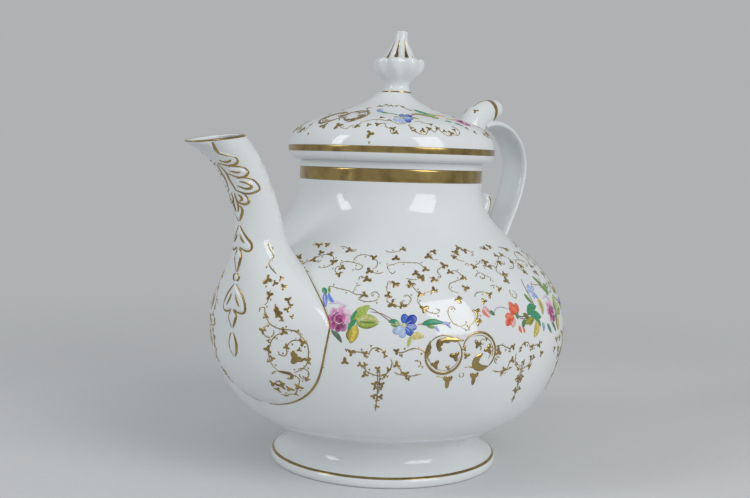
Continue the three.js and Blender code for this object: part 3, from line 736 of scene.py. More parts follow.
peg_turn = full_turn(PEG_SIDES)
pegs = []
for k in range(7):
    reach = STRAINER_PITCH if k else 0.0
    middle_y, middle_z = reach * sin(k * pi / 3), STRAINER_Z + reach * cos(k * pi / 3)
    peg = np.column_stack([
        0 * peg_turn,
        middle_y + STRAINER_HOLE_R * np.cos(peg_turn),
        middle_z + STRAINER_HOLE_R * np.sin(peg_turn),
    ])
    pegs.append(loft("strainer_peg_%d" % k, np.stack([peg - PEG_OUTSIDE, peg - PEG_INSIDE])))
cut_away(pot_shell, *pegs)
for peg in pegs:
    bpy.data.objects.remove(peg)
seat_piece(pot_shell, "pot", "decorated_glaze", glaze, "pot_body")

# %% [markdown]
# ## The handle
# The handle is three pieces: a rounded post that rises behind the lid and ends in a rolled thumb tip, a
# broad strap that arches down to the belly, and a small scroll inside. Each is an oval carried along a
# curve. On the strap the oval's inner face is dished, so that a finger sits well in it.

# %% Handle
LID_R = 49.0
LID_CLEARANCE = 1.6
ARM_HALF = (5.6, 6.3)
STRAP_HALF = (2.7, 8.0)
STRAP_DISH = 1.3
SCROLL_END_HALF = (3.6, 5.4)
POST_R = LID_R + LID_CLEARANCE + ARM_HALF[0]
TIP = np.array([POST_R + 23.0, RIM_Z + 27.9])
TIP_REACH = 5.2
STRAP_R = TIP[0] + 21.8
STRAP_TOP_Z = TIP[1] - 30.3
STRAP_START = TIP - [12.7, 9.4]
STRAP_END = np.array([BELLY_R - 10.4, BELLY_Z + 20.5])
POST_FOOT = np.array([NECK_R, RIM_Z - 25.0])
POST_MIDDLE = np.array([POST_R, RIM_Z - 2])
SCROLL_TIP = np.array([NECK_R + 29.4, RIM_Z - 19.5])

arm_line = [
    (POST_FOOT, POST_FOOT + [9, 6], POST_MIDDLE - [0, 12], POST_MIDDLE),
    (POST_MIDDLE, POST_MIDDLE + [0, 19], TIP - [15.5, 3], TIP),
]
arm_size = [
    [(6.6, 7.0), ARM_HALF, ARM_HALF, ARM_HALF],
    [ARM_HALF, (7.9, 7.3), (7.9, 7.3), (5.2, 5.5)],
]
strap_line = [
    (STRAP_START, STRAP_START + [15.5, 6.0], (STRAP_R, STRAP_TOP_Z + 15.8), (STRAP_R, STRAP_TOP_Z)),
    ((STRAP_R, STRAP_TOP_Z), (STRAP_R, STRAP_TOP_Z - 17.6), STRAP_END + [10, 22], STRAP_END),
]
strap_size = [
    [(STRAP_HALF[0], 6.6), STRAP_HALF, STRAP_HALF, STRAP_HALF],
    [STRAP_HALF, STRAP_HALF, STRAP_HALF, (4.1, 8.8)],
]
scroll_line = [
    ((NECK_R + 2, SCROLL_TIP[1] - 5), (NECK_R + 13, SCROLL_TIP[1] - 12), SCROLL_TIP - [0, 12], SCROLL_TIP),
]
scroll_size = [[(4.6, 5.4), (4.1, 5.4), (4.1, 5.4), SCROLL_END_HALF]]


def carried(line, sizes, rows, around, dish=0.0, round_reach=None):
    """Ovals along a line: out = a cos, less dish cos^2 inside; side = b sin; a round end shrinks by cos."""
    place = np.linspace(0, len(line), rows)
    centre, half = run(line, place), run(sizes, place)
    along = unit(np.gradient(centre, axis=0))
    angle = full_turn(around)
    out = half[:, :1] * np.cos(angle) - dish * np.maximum(np.cos(angle), 0) ** 2
    rings = np.stack([centre[:, :1] + along[:, 1:] * out, half[:, 1:] * np.sin(angle),
                      centre[:, 1:] - along[:, :1] * out], axis=-1)
    if round_reach is None:
        return rings
    turn = np.linspace(0, pi / 2 - 0.06, 12)[1:, None, None]
    middle = np.array([centre[-1, 0], 0, centre[-1, 1]])
    ahead = np.array([along[-1, 0], 0, along[-1, 1]]) * round_reach
    cap = middle + (rings[-1] - middle)[None] * np.cos(turn) + ahead * np.sin(turn)
    return np.vstack([rings, cap])


arm_rings = carried(arm_line, arm_size, 110, 64, round_reach=TIP_REACH)
scroll_rings = carried(scroll_line, scroll_size, 60, 48, round_reach=SCROLL_END_HALF[0])
arm_core_size = [[np.array(p) - JOIN_DEPTH for p in curve] for curve in arm_size]
arm_core = carried(arm_line, arm_core_size, 60, 48, round_reach=TIP_REACH - JOIN_DEPTH)
arm = loft("handle_post", arm_rings)
arm_cutter = loft("arm_cutter", arm_core)
strap = loft("handle_band", carried(strap_line, strap_size, 150, 72, dish=STRAP_DISH))
scroll = loft("handle_curl", scroll_rings)
cut_away(arm, body_cutter)
cut_away(strap, arm_cutter, body_cutter)
cut_away(scroll, arm_cutter, body_cutter)
seat_piece(arm, "pot", "white_glaze", glaze, "handle_arm")
seat_piece(strap, "pot", "white_glaze", glaze, "handle_strap")
seat_piece(scroll, "pot", "white_glaze", glaze, "handle_scroll")
for cutter in (body_cutter, arm_cutter):
    bpy.data.objects.remove(cutter)

# %% [markdown]
# ## The lid
# The lid is a thin dome with a rolled edge that overhangs the neck. Its outline starts on the axis at
# the top, runs out over the dome and round the edge, and comes back up the inside to the axis. Under it
# hangs the locating flange, which keeps the lid in place when the pot is tipped.

# %% Lid and flange
LID_WALL = 3.0
LID_EDGE_UP = 4.6
LID_SHOULDER = np.array([30.0, RIM_Z + 20.6])
PAD = np.array([8.0, RIM_Z + 31.5])
SEAT_Z = RIM_Z + 0.3
SEAT_R = NECK_R + 0.6
EDGE_Z = RIM_Z - 0.8
FLANGE_R = NECK_R - BODY_WALL - 1.0
FLANGE_WALL = 2.6
FLANGE_LOW_Z = SEAT_Z - LUTE_GAP - 9.0
TURNED_EDGE_ANGLE = radians(60)

lid_widest = np.array([LID_R, RIM_Z + LID_EDGE_UP])
lid_edge = [[(SEAT_R + 0.7, EDGE_Z), (LID_R - 1.2, EDGE_Z + 0.2), (LID_R, EDGE_Z + 2.4), lid_widest]]
lid_dome = [
    (lid_widest, lid_widest + [0, 9.4], LID_SHOULDER + [11.5, -3.4], LID_SHOULDER),
    (LID_SHOULDER, LID_SHOULDER + [-9, 3], PAD + [2.5, -4], PAD),
]
dome_line = run(lid_dome, np.linspace(0, 2, 101))
hollow_line = sideways(dome_line, LID_WALL)
hollow_z = hollow_line[:, 1]
hollow_line = hollow_line[(hollow_z > SEAT_Z + LID_WALL + 0.5) & (hollow_z < PAD[1] - LID_WALL)]
lid_outline = np.vstack([
    flat_disc(PAD[0], PAD[1], (0.05, 0.5, 0.9)),
    dome_line[::-1],
    run(lid_edge, np.linspace(0, 1, 25))[::-1][1:],
    [(SEAT_R, SEAT_Z), (FLANGE_R - FLANGE_WALL, SEAT_Z), (FLANGE_R - FLANGE_WALL, SEAT_Z + LID_WALL),
     (SEAT_R - 2, SEAT_Z + LID_WALL)],
    hollow_line,
    flat_disc(hollow_line[-1, 0], PAD[1] - LID_WALL, (0.9, 0.5, 0.05)),
])
lid = loft("domed_lid", turned(lid_outline, BODY_TURNS))
lid.data.set_sharp_from_angle(angle=TURNED_EDGE_ANGLE)
seat_piece(lid, "lid_group", "decorated_glaze", glaze, "lid")

flange_outline = np.array([
    (FLANGE_R - FLANGE_WALL, FLANGE_LOW_Z + 0.5), (FLANGE_R - FLANGE_WALL + 0.5, FLANGE_LOW_Z),
    (FLANGE_R - 1.0, FLANGE_LOW_Z), (FLANGE_R - 0.3, FLANGE_LOW_Z + 0.4), (FLANGE_R, FLANGE_LOW_Z + 1.2),
    (FLANGE_R, SEAT_Z - 0.02), (FLANGE_R - FLANGE_WALL, SEAT_Z - 0.02)])
flange = loft("locating_flange", turned(flange_outline, BODY_TURNS), joined=True)
flange.data.set_sharp_from_angle(angle=TURNED_EDGE_ANGLE)
seat_piece(flange, "lid_group", "unglazed_biscuit", biscuit, "lid_flange")

# %% [markdown]
# ## The knob
# A tulip cup with eight lobes stands on a short stem, and a fluted spire stands in the cup. Both are
# turned shapes whose radius swells and shrinks with the cosine of eight times the angle round the axis.
# The cup's rim also rises over each lobe. The whole knob leans a little, because it was set on by eye.

# %% Knob
KNOB_LOBES = 8
KNOB_Z = PAD[1] + 0.02
KNOB_TOP_Z = PAD[1] + LUTE_GAP + 15.5
COLLAR_R = 6.9
STEM_R = 5.7
CUP_R = 11.5
CUP_WIDEST_Z = KNOB_Z + 12.9
CUP_LOBE_DEPTH = 0.065
CUP_CROWN = 0.42
SPIRE_Z = KNOB_TOP_Z + LUTE_GAP
SPIRE_TOP_Z = SPIRE_Z + 12.8
SPIRE_FLUTE_DEPTH = 0.10
SPIRE_CAP_R = 2.95
CAP_Z = SPIRE_TOP_Z - 3.2
KNOB_LEAN = radians(3.2)
KNOB_OFFSET = 1.5
KNOB_LEAN_TOWARDS = radians(-48)
KNOB_TURNS = 192
CUP_PHASE = radians(33)
SPIRE_PHASE = radians(50)


def swollen(rings, depth, from_z, to_z, phase, crown=0.0, crown_from=0.0):
    """Lobes: radius x (1 + depth sin(rise) cos(n angle)); the crown lifts each lobe's top in two bumps."""
    angle = np.arctan2(rings[..., 1], rings[..., 0])
    rise = np.clip((rings[..., 2] - from_z) / (to_z - from_z), 0, 1)
    wave = np.cos(KNOB_LOBES * (angle - phase))
    swell = 1 + depth * np.sin(rise * pi) * wave
    shaped = rings * np.stack([swell, swell, np.ones(rise.shape)], axis=-1)
    double = wave - 0.6 * np.cos(2 * KNOB_LOBES * (angle - phase))
    shaped[..., 2] += crown * np.clip((rings[..., 2] - crown_from) / (to_z - crown_from), 0, 1) * double
    return shaped


def leaning(rings):
    """The knob's lean: each level slides by the offset and its height over the pad times the tangent."""
    shift = KNOB_OFFSET + (rings[..., 2] - PAD[1]) * tan(KNOB_LEAN)
    away = [shift * cos(KNOB_LEAN_TOWARDS), shift * sin(KNOB_LEAN_TOWARDS), 0 * shift]
    return rings + np.stack(away, axis=-1)


stem = (STEM_R, KNOB_Z + 3.4)
cup_widest = (CUP_R, CUP_WIDEST_Z)
cup_rim = (CUP_R - 1.3, KNOB_TOP_Z)
cup_floor = (CUP_R - 4.5, KNOB_TOP_Z - 1.8)
cup_outline = np.vstack([
    flat_disc(COLLAR_R, KNOB_Z, (0.05, 0.6)),
    run([
        [(COLLAR_R, KNOB_Z), (COLLAR_R + 0.2, KNOB_Z + 0.6), (STEM_R, KNOB_Z + 2), stem],
        [stem, (STEM_R, KNOB_Z + 6.4), (CUP_R - 0.6, CUP_WIDEST_Z - 5), cup_widest],
        [cup_widest, (CUP_R + 0.2, CUP_WIDEST_Z + 1.4), (CUP_R, KNOB_TOP_Z), cup_rim],
        [cup_rim, (CUP_R - 2.6, KNOB_TOP_Z), (CUP_R - 3.0, KNOB_TOP_Z - 1.0), cup_floor],
    ], np.linspace(0, 4, 73)),
    flat_disc(*cup_floor, (0.9, 0.5, 0.05)),
])
cup_grid = leaning(swollen(turned(cup_outline, KNOB_TURNS), CUP_LOBE_DEPTH, KNOB_Z + 5, KNOB_TOP_Z + 1.6,
                           CUP_PHASE, CUP_CROWN, CUP_WIDEST_Z - 1))
cup = loft("tulip_cup", cup_grid)
seat_piece(cup, "lid_group", "white_glaze", glaze, "knob_cup")

cap_foot = (3.1, CAP_Z)
cap_edge = (SPIRE_CAP_R, SPIRE_TOP_Z - 0.5)
cap_top = (2.3, SPIRE_TOP_Z)
spire_outline = np.vstack([
    flat_disc(7.5, KNOB_TOP_Z - 1.7, (0.05, 0.6)),
    run([
        [(7.8, KNOB_TOP_Z - 1.7), (6.6, SPIRE_Z + 1.4), (3.9, CAP_Z - 3.6), cap_foot],
        [cap_foot, (3.0, CAP_Z + 1.4), (SPIRE_CAP_R, SPIRE_TOP_Z - 0.9), cap_edge],
        [cap_edge, (SPIRE_CAP_R, SPIRE_TOP_Z - 0.2), (2.7, SPIRE_TOP_Z), cap_top],
    ], np.linspace(0, 3, 91)),
    flat_disc(*cap_top, (0.7, 0.1)),
])
spire_grid = leaning(swollen(turned(spire_outline, KNOB_TURNS), SPIRE_FLUTE_DEPTH, SPIRE_Z - 7, CAP_Z + 0.5,
                             SPIRE_PHASE))
spire = loft("fluted_spire", spire_grid)
seat_piece(spire, "lid_group", "white_glaze", glaze, "knob_spire")

# %% [markdown]
# ## Gold bands
# Burnished gold was brushed on with the pot turning on a wheel: a broad band round the neck, one on the
# lid's edge and a thin line on the foot. Each band is a stretch of the profile under it, lifted by the
# thickness of the gold and turned round the axis as a thin closed ring.

# %% Bands
GOLD_LIFT = 0.05
NECK_BAND = (134.1, 140.0)
LID_BAND = (146.9, 149.8)
FOOT_LINE = (4.1, 4.95)


def band(name, line, body):
    """A thin ring over a line of the profile, which runs upwards with the clay on its left."""
    outside, inside = sideways(line, -GOLD_LIFT), sideways(line, GOLD_LIFT)
    outside[[0, -1]] = line[[0, -1]]
    ring = loft(name, turned(np.vstack([outside, inside[::-1]]), BODY_TURNS), joined=True)
    return seat_piece(ring, body, "gilding", gold)


def between(line, low, high):
    """The part of a profile between two heights."""
    heights = np.linspace(low, high, 9)
    order = np.argsort(line[:, 1])
    return np.column_stack([np.interp(heights, line[order, 1], line[order, 0]), heights])


edge_and_dome = np.vstack([run(lid_edge, np.linspace(0.5, 1, 30)), dome_line[1:20]])
band("neck_band", between(np.array([(NECK_R, NECK_BAND[0]), (NECK_R, NECK_BAND[1])]), *NECK_BAND), "pot")
band("lid_band", between(edge_and_dome, *LID_BAND), "lid_group")
foot_curve = foot_outside[(foot_outside[:, 1] > 3.6) & (foot_outside[:, 1] < 9.0)]
band("foot_line", between(foot_curve, *FOOT_LINE), "pot")

# %% [markdown]
# ## Maps for the painter
# All other ornament is drawn on flat maps. A map turns two readings, one across and one upwards, into a
# spot on the pot, and small steps across and up give the direction that stands straight off the surface.
# On the belly and the lid the readings are degrees round from the spout and millimetres along the
# profile. So a motif can be drawn in flat millimetres round any anchor, and it then hugs the curve.

# %% Surface maps
NORMAL_STEP = 0.05


def moved_round(readings, shift):
    """Readings moved round the pot by an angle."""
    return [(across + shift, up) for across, up in readings]


class SurfaceMap:
    """Turns readings (across, up) into points, and flat millimetres round an anchor into readings."""

    def __init__(self, spot, across_mm, upward=1, side=1):
        self.spot_of = spot
        self.across_mm = across_mm
        self.upward = upward
        self.side = side

    def mirrored(self):
        """The same map for the far side of the pot, where across counts the other way."""
        return SurfaceMap(self.spot_of, self.across_mm, self.upward, -self.side)

    def spot(self, across, up):
        return self.spot_of(self.side * across, up)

    def flat(self, anchor, readings):
        """Flat millimetres from the anchor to each reading."""
        across, up = np.asarray(readings, float).T
        return np.column_stack([(across - anchor[0]) * self.across_mm(up), self.upward * (up - anchor[1])])

    def lifted(self, anchor, flat, height):
        """The spot plus the height along the normal, which is the cross product of two small steps."""
        up = anchor[1] + self.upward * flat[..., 1]
        across = anchor[0] + flat[..., 0] / self.across_mm(up)
        here = self.spot(across, up)
        right = self.spot(across + NORMAL_STEP / self.across_mm(up), up) - here
        above = self.spot(across, up + self.upward * NORMAL_STEP) - here
        normal = unit(self.side * np.cross(right, above))
        return here + normal * np.broadcast_to(height, up.shape)[..., None]


def round_axis(profile, start):
    """A map of a turned piece: degrees round from the spout, and millimetres up along its profile."""
    along = lengths(profile) - start

    def spot(across, up):
        radius, height = np.interp(up, along, profile[:, 0]), np.interp(up, along, profile[:, 1])
        angle = np.radians(across)
        return np.stack([-radius * np.cos(angle), -radius * np.sin(angle), height], -1)

    def across_mm(up):
        return np.radians(np.interp(up, along, profile[:, 0]))

    return SurfaceMap(spot, across_mm)


belly_profile = run([lower_belly, upper_belly], np.linspace(0, 2, 400))
belly_start = np.interp(BELLY_Z, belly_profile[:, 1], lengths(belly_profile))
belly_map = round_axis(belly_profile, belly_start)
lid_map = round_axis(run(lid_dome, np.linspace(0, 2, 300)), 0.0)
spout_map = SurfaceMap(lambda across, up: spout_spot(up, across), lambda up: np.ones(np.shape(up)), -1)

# %% [markdown]
# ## Brush strokes and patches
# Gold and enamel stand up from the glaze by a hair. A stroke is a closed strip, about a tenth of a
# millimetre high, that follows a smooth line and can swell and taper. A patch is a closed low dome
# inside an outline, such as a petal or an ivy leaf. Each enamel patch also carries two colours, one for
# its edge and one for its heart, kept in a colour attribute and blended from the one to the other.

# %% Strokes and patches
UNDER = -0.06
STROKE_HEIGHT = 0.09
RING_HEIGHT = 0.12
LEAF_HEIGHT = 0.14
SCROLL_LEAF_HEIGHT = 0.2
NO_PAINT = ((1, 1, 1), (1, 1, 1))
FLAT_SECTION = [(-1, 0), (-0.7, 1), (0.7, 1), (1, 0)]
DOMED_SECTION = [(-1, 0), (-0.8, 0.7), (0, 1), (0.8, 0.7), (1, 0), (0, 0)]
SMOOTH_DOME = (1, 0.75, 0.4)
LEAF_SEED = 7
LOBE_WAVE = 0.22
BLADE_FROM, BLADE_TO = 0.012, 0.985
DOME_FALL = 0.3

random_leaves = np.random.default_rng(LEAF_SEED)


def keep(shells, points, faces, colours):
    """Adds one closed shell, with its faces turned outwards."""
    shells.append((points, faced_outwards(points, faces), colours))


def strip(shells, chart, anchor, line, half_widths, section, height, colours=NO_PAINT):
    """Carries a flat section of (across, height share) along a line in flat millimetres."""
    section = np.asarray(section, float)
    along = unit(np.gradient(line, axis=0))
    side = np.column_stack([-along[:, 1], along[:, 0]])
    half = np.broadcast_to(half_widths, len(line))
    flat = line[:, None] + side[:, None] * (half[:, None] * section[None, :, 0])[..., None]
    lift = np.where(section[:, 1] > 0, height * section[:, 1], UNDER)
    rings = chart.lifted(anchor, flat, np.broadcast_to(lift, flat.shape[:2]))
    points = np.vstack([rings.reshape(-1, 3), rings[:1].mean(axis=1), rings[-1:].mean(axis=1)])
    share = np.abs(section[:, 0])[None, :, None] + np.zeros((len(line), 1, 1))
    edge, heart = (np.asarray(colour, float) for colour in colours)
    paint = (heart + (edge - heart) * share).reshape(-1, 3)
    keep(shells, points, capped_faces(len(line), len(section)), np.vstack([paint, edge[None], edge[None]]))


def brushed(line, width, taper, tip, swell):
    """Half widths along a line: thin over a share of it at both ends, and swell adds a thicker middle."""
    share = lengths(line) / max(lengths(line)[-1], 1e-6)
    ends = np.clip(np.minimum(share, 1 - share) / tip, 0, 1)
    return width / 2 * (taper + (1 - taper) * np.sqrt(ends)) * (1 + swell * np.sin(pi * share) ** 2)


def stroke(shells, chart, readings, width, taper=0.35, steps=5, height=STROKE_HEIGHT, swell=0.0,
           colours=NO_PAINT):
    """A brush line through readings."""
    anchor = readings[0]
    line = through(chart.flat(anchor, readings), steps)
    half = brushed(line, width, taper, 0.12, swell)
    strip(shells, chart, anchor, line, half, FLAT_SECTION, height, colours)


def ring_line(shells, chart, anchor, points, width, swell=0.0):
    """A brush line through flat places round an anchor."""
    line = through(points, 3)
    strip(shells, chart, anchor, line, brushed(line, width, 0.3, 0.15, swell), FLAT_SECTION, RING_HEIGHT)


def blade(shells, chart, anchor, points, width, blunt, lean, lobes, height, colours=NO_PAINT):
    """A leaf or petal along flat points: half width = w/2 sin(pi t^k)^blunt, with waves for its lobes."""
    line = through(points, 5)
    share = np.clip(lengths(line) / lengths(line)[-1], BLADE_FROM, BLADE_TO)
    half = width / 2 * np.sin(pi * share ** (np.log(0.5) / np.log(lean))) ** blunt
    if lobes:
        half = half * (1 + LOBE_WAVE * np.cos(2 * pi * lobes * share))
    strip(shells, chart, anchor, line, half, DOMED_SECTION, height, colours)


def patch(shells, chart, anchor, outline, height, place=(0, 0), heart=None, colours=NO_PAINT,
          shares=(1, 0.72)):
    """A low dome inside a flat outline moved to a place: rings drawn in towards its heart, and closed."""
    outline = outline + np.asarray(place, float)
    heart = np.asarray(place if heart is None else heart, float)
    rings = heart + (outline[None] - heart) * np.asarray(shares)[:, None, None]
    rise = np.array([UNDER] + [height * (1 - DOME_FALL * share) for share in shares[1:]])
    lifted = chart.lifted(anchor, rings, np.broadcast_to(rise[:, None], rings.shape[:2]))
    tips = chart.lifted(anchor, np.stack([heart, heart]), np.array([UNDER, height]))
    points = np.vstack([lifted.reshape(-1, 3), tips])
    edge, middle = (np.asarray(colour, float) for colour in colours)
    paint = np.repeat(middle + (edge - middle) * np.asarray(shares)[:, None] ** 2, len(outline), axis=0)
    paint = np.vstack([paint, edge[None], middle[None]])
    keep(shells, points, capped_faces(len(shares), len(outline)), paint)


def lobed(size, lobes, depth, count, squash=1.0):
    """An outline with lobes: radius = size (1 - depth + depth |cos(n angle / 2)|)."""
    angle = full_turn(count)
    radius = size * (1 - depth + depth * np.abs(np.cos(lobes * angle / 2)))
    return np.column_stack([np.cos(angle), squash * np.sin(angle)]) * radius[:, None]


def ivy_leaf(size, turn, count=24, depth=0.64):
    """Three lobes: radius = size (1 - depth |sin(3x/2)|^1.8) (1 + 0.12 cos x), with x from the tip."""
    x = full_turn(count)
    radius = size * (1 - depth * np.abs(np.sin(1.5 * x)) ** 1.8) * (1 + 0.12 * np.cos(x))
    return np.column_stack([np.cos(x + turn), np.sin(x + turn)]) * radius[:, None]


def leaf_spot(shells, chart, reading, size, height=0.1):
    """An ivy leaf at a reading, turned any way."""
    leaf = ivy_leaf(1.12 * size, random_leaves.uniform(0, 2 * pi))
    patch(shells, chart, reading, leaf, height)


def painted(name, shells, body, slot, material):
    """Joins the shells to one piece, with their colours in the attribute called paint."""
    counts = np.array([len(points) for points, faces, colours in shells])
    starts = np.cumsum(counts) - counts
    quads = np.vstack([faces[0] + start for (points, faces, colours), start in zip(shells, starts)])
    tris = np.vstack([faces[1] + start for (points, faces, colours), start in zip(shells, starts)])
    piece = make_mesh(name, np.vstack([points for points, faces, colours in shells]), [quads, tris])
    paint = piece.data.color_attributes.new("paint", "FLOAT_COLOR", "POINT")
    colours = np.vstack([colours for points, faces, colours in shells])
    colours = np.column_stack([colours, np.ones(len(colours))])
    paint.data.foreach_set("color", colours.astype(np.float32).ravel())
    return seat_piece(piece, body, slot, material)


def enamel_material():
    """Enamel: its own painted colours, broken up by fine brush streaks, and glossy."""
    material, shader, add, places = new_material("enamel")
    paint = add("ShaderNodeAttribute", {"attribute_name": "paint"}).outputs["Color"]
    streaks = add("ShaderNodeMapRange", Value=noise_of(add, places, 900.0), From_Min=0.3, From_Max=0.7,
                  To_Min=0.72, To_Max=1.25).outputs["Result"]
    fill(shader, {
        "Base Color": add("ShaderNodeHueSaturation", Color=paint, Value=streaks).outputs["Color"],
        "Roughness": spread_of(add, noise_of(add, places, 300.0), 0.16, 0.34),
        "Normal": bump_of(add, 0.3, 0.00012, noise_of(add, places, 1400.0)),
    })
    return material


enamel = enamel_material()

# %% [markdown]
# ## Ivy on the belly
# Fine gold ivy covers the shoulder, and a heavier vine with hanging sprays runs round the widest place.
# The pattern repeats every 75 degrees, so one stretch of it is drawn and set down again further round,
# and then mirrored for the far side. Leaves are three-lobed spots, and small dots sit along the stems
# in turns on the left and on the right.

# %% Ivy pattern
REPEAT = 75.0
FIRST_IVY_FROM, IVY_FROM, VINE_FROM, PATTERN_TO = 4, 8, 27, 168
IVY_LEAVES = [
    (19, 44.8), (21.7, 40.2), (26, 37.4), (25.4, 33.8), (26.3, 47.8), (36.5, 44), (35.6, 36.2),
    (35.2, 32), (35, 24.5), (45, 44), (47.8, 49.6), (44.3, 30), (49.5, 30.3), (55.3, 38), (51.5, 35.7),
    (53.2, 33.6), (52.2, 25.5), (42.3, 24.6), (43.7, 20.7), (46.5, 20.3), (57.6, 45.4), (52.8, 19),
    (60.3, 48.3), (62.6, 40), (63.7, 36.5), (57.5, 32.5), (72.4, 50.5), (74.6, 48.7), (70, 47.8),
    (68, 45), (68.2, 33.3), (67.5, 28), (81.4, 41.6), (81.8, 38.7), (74.7, 39), (86.8, 34.3),
    (85.8, 30.6), (80.6, 27), (75.6, 24.6), (72.8, 21.8), (56.6, 27.2), (64.2, 22.6), (87, 49.5),
    (88.5, 40.5), (15.5, 50.3), (90, 45), (64, 22.6), (69.2, 17.2), (69.4, 13)]
IVY_STEMS = [
    [(19, 44.8), (15.5, 43.3), (12, 39.8), (9.3, 37), (9.6, 34), (12.3, 32.8), (13.5, 34)],
    [(19, 44.8), (21, 43), (21.7, 40.2), (20.5, 37.6), (18.5, 36.5), (16.8, 37.3)],
    [(26, 37.4), (24.8, 39.8), (27, 41), (30, 40.4), (32.5, 39.4), (32.9, 37.5), (31.2, 36.6),
     (30.6, 37.8)],
    [(25.4, 33.8), (23.7, 35.4), (24, 37.8), (26, 38.2)], [(26.3, 47.8), (24, 49.5), (21.8, 49.2)],
    [(26.3, 47.8), (28.5, 47), (29, 48.6)],
    [(36.5, 44), (33.3, 45.4), (30.5, 44.6), (29.3, 42.6), (30.4, 41.6)],
    [(36.5, 44), (38.1, 41.5), (37.9, 38.6), (36.6, 37.6)], [(35.6, 36.2), (38.6, 35.2), (40.6, 36)],
    [(35.2, 32), (33, 33.4), (32.6, 31.2)],
    [(23.6, 25.2), (23.7, 27.5), (26.5, 26.8), (30.3, 25.8), (32.2, 24.6), (35, 24.5)],
    [(31.6, 25.4), (32.2, 28.2), (33.7, 29.2)],
    [(35, 24.5), (33.4, 22.5), (35.8, 21.5), (38.8, 22.2), (39.6, 24.6), (38.2, 26), (37, 24.9),
     (37.8, 23.7)],
    [(40.7, 48.3), (42.5, 47.5), (45.5, 48), (47.8, 49.6), (47.4, 51.4)],
    [(42.5, 36.3), (41.8, 39.2), (44.2, 40.6), (47, 41.8), (49.5, 41.5), (53, 41.4), (55.3, 38)],
    [(42.5, 36.3), (43.8, 35.4), (44.6, 36.8)], [(51.5, 35.7), (53.2, 33.6), (51, 32.4), (48, 33)],
    [(44.3, 30), (42.4, 31.4), (41.8, 27.5), (42.3, 24.6), (41.9, 22), (43.7, 20.7)],
    [(43.7, 20.7), (45.2, 19.9), (46.5, 20.3), (48.4, 21), (49.2, 23.3), (48, 25), (46.8, 24.2)],
    [(43.7, 20.7), (43.4, 22.6), (44.6, 23)], [(46.5, 20.3), (46.4, 22.1), (47.4, 22.3)],
    [(49.5, 30.3), (50.7, 27.6), (52.2, 25.5), (54.6, 26.4), (56.6, 27.2)], [(49.5, 30.3), (47.6, 29.4)],
    [(52.2, 25.5), (51.1, 22.4), (52.8, 19)],
    [(57.5, 32.5), (60, 34), (59.2, 36.6), (60.4, 38.4), (62.6, 40)], [(57.5, 32.5), (56, 33.8)],
    [(63.7, 36.5), (66.2, 37), (68.2, 33.3), (65, 31.8), (62.4, 30.2), (62, 27.6), (64.5, 25.8)],
    [(60.3, 48.3), (58.3, 47.4), (57.6, 45.4), (59, 43.6), (61, 43.4)],
    [(70, 47.8), (71, 49.4), (72.4, 50.5)], [(74.6, 48.7), (77, 48.2), (77.9, 46.2), (76.4, 45.2)],
    [(70, 47.8), (68, 45), (69.6, 43.2), (71.6, 42)], [(74.7, 39), (72.4, 41), (71.2, 40)],
    [(74.7, 39), (76.6, 40.4), (78.2, 41)], [(81.4, 41.6), (79, 42.2), (78.2, 40.8)],
    [(81.8, 38.7), (79.4, 39.6), (79.2, 37.6)], [(81.8, 38.7), (84.6, 39), (84, 37.4)],
    [(72.8, 33.4), (75, 35.6), (77, 34.6), (76.6, 32.8), (75, 32.8), (75.2, 34)],
    [(77.5, 34.2), (79.2, 32.6), (78.4, 31)], [(86.8, 34.3), (86, 32.3), (85.8, 30.6)],
    [(86.8, 34.3), (89.4, 34)], [(80.6, 27), (79, 28.9), (77.3, 28.5)],
    [(75.6, 24.6), (73.5, 26), (71, 25.6), (69.8, 24)],
    [(85.3, 26.4), (84.6, 23.8), (86.2, 22), (87.4, 24), (86.4, 25.6)],
    [(87, 49.5), (84.6, 50.4), (84, 48.8)], [(88.5, 40.5), (90.8, 39.4), (92, 41)],
    [(61.8, 17.5), (62.2, 19.2), (61, 19.8), (60.1, 17.8), (60.3, 15.5), (61.4, 12.8), (63.3, 11.5),
     (65.3, 12), (66.4, 9.6)],
    [(68, 17.6), (69.4, 17.4), (69.6, 15.5), (68.7, 14.2), (66.8, 11.8), (65.6, 9.8), (64.2, 10.8)],
    [(56.4, 19), (57.6, 18.4), (56.8, 17), (55, 17.2), (52.8, 18.8)]]
VINE_LEAVES = [
    (30.8, -3.8, 1.45), (32.5, 0.2, 1.4), (31.2, 1.1, 0.6), (36.3, 0.2, 1.2), (37, -1.1, 0.6),
    (39.8, 1.7, 0.9), (41.6, 0.7, 0.8), (42, -0.6, 0.9), (45, 1.6, 1.2), (46.4, -0.2, 0.7),
    (35, -4.6, 1.1), (36.5, -4.4, 1.0), (36.5, -8.7, 1.3), (40, -5.9, 1.15), (41.9, -8.8, 0.9),
    (43, -6.2, 0.9), (45.2, -4.2, 1.4), (47.9, -8, 1.35), (48.6, -10, 0.9), (39.2, -12.8, 1.25),
    (41.2, -12.8, 1.25), (39.4, -14.4, 0.9), (41, -14.4, 0.9), (38.9, -18.6, 1.2), (40.9, -18.7, 1.2),
    (40, -20.2, 0.9), (39.8, -23.4, 1.0)]
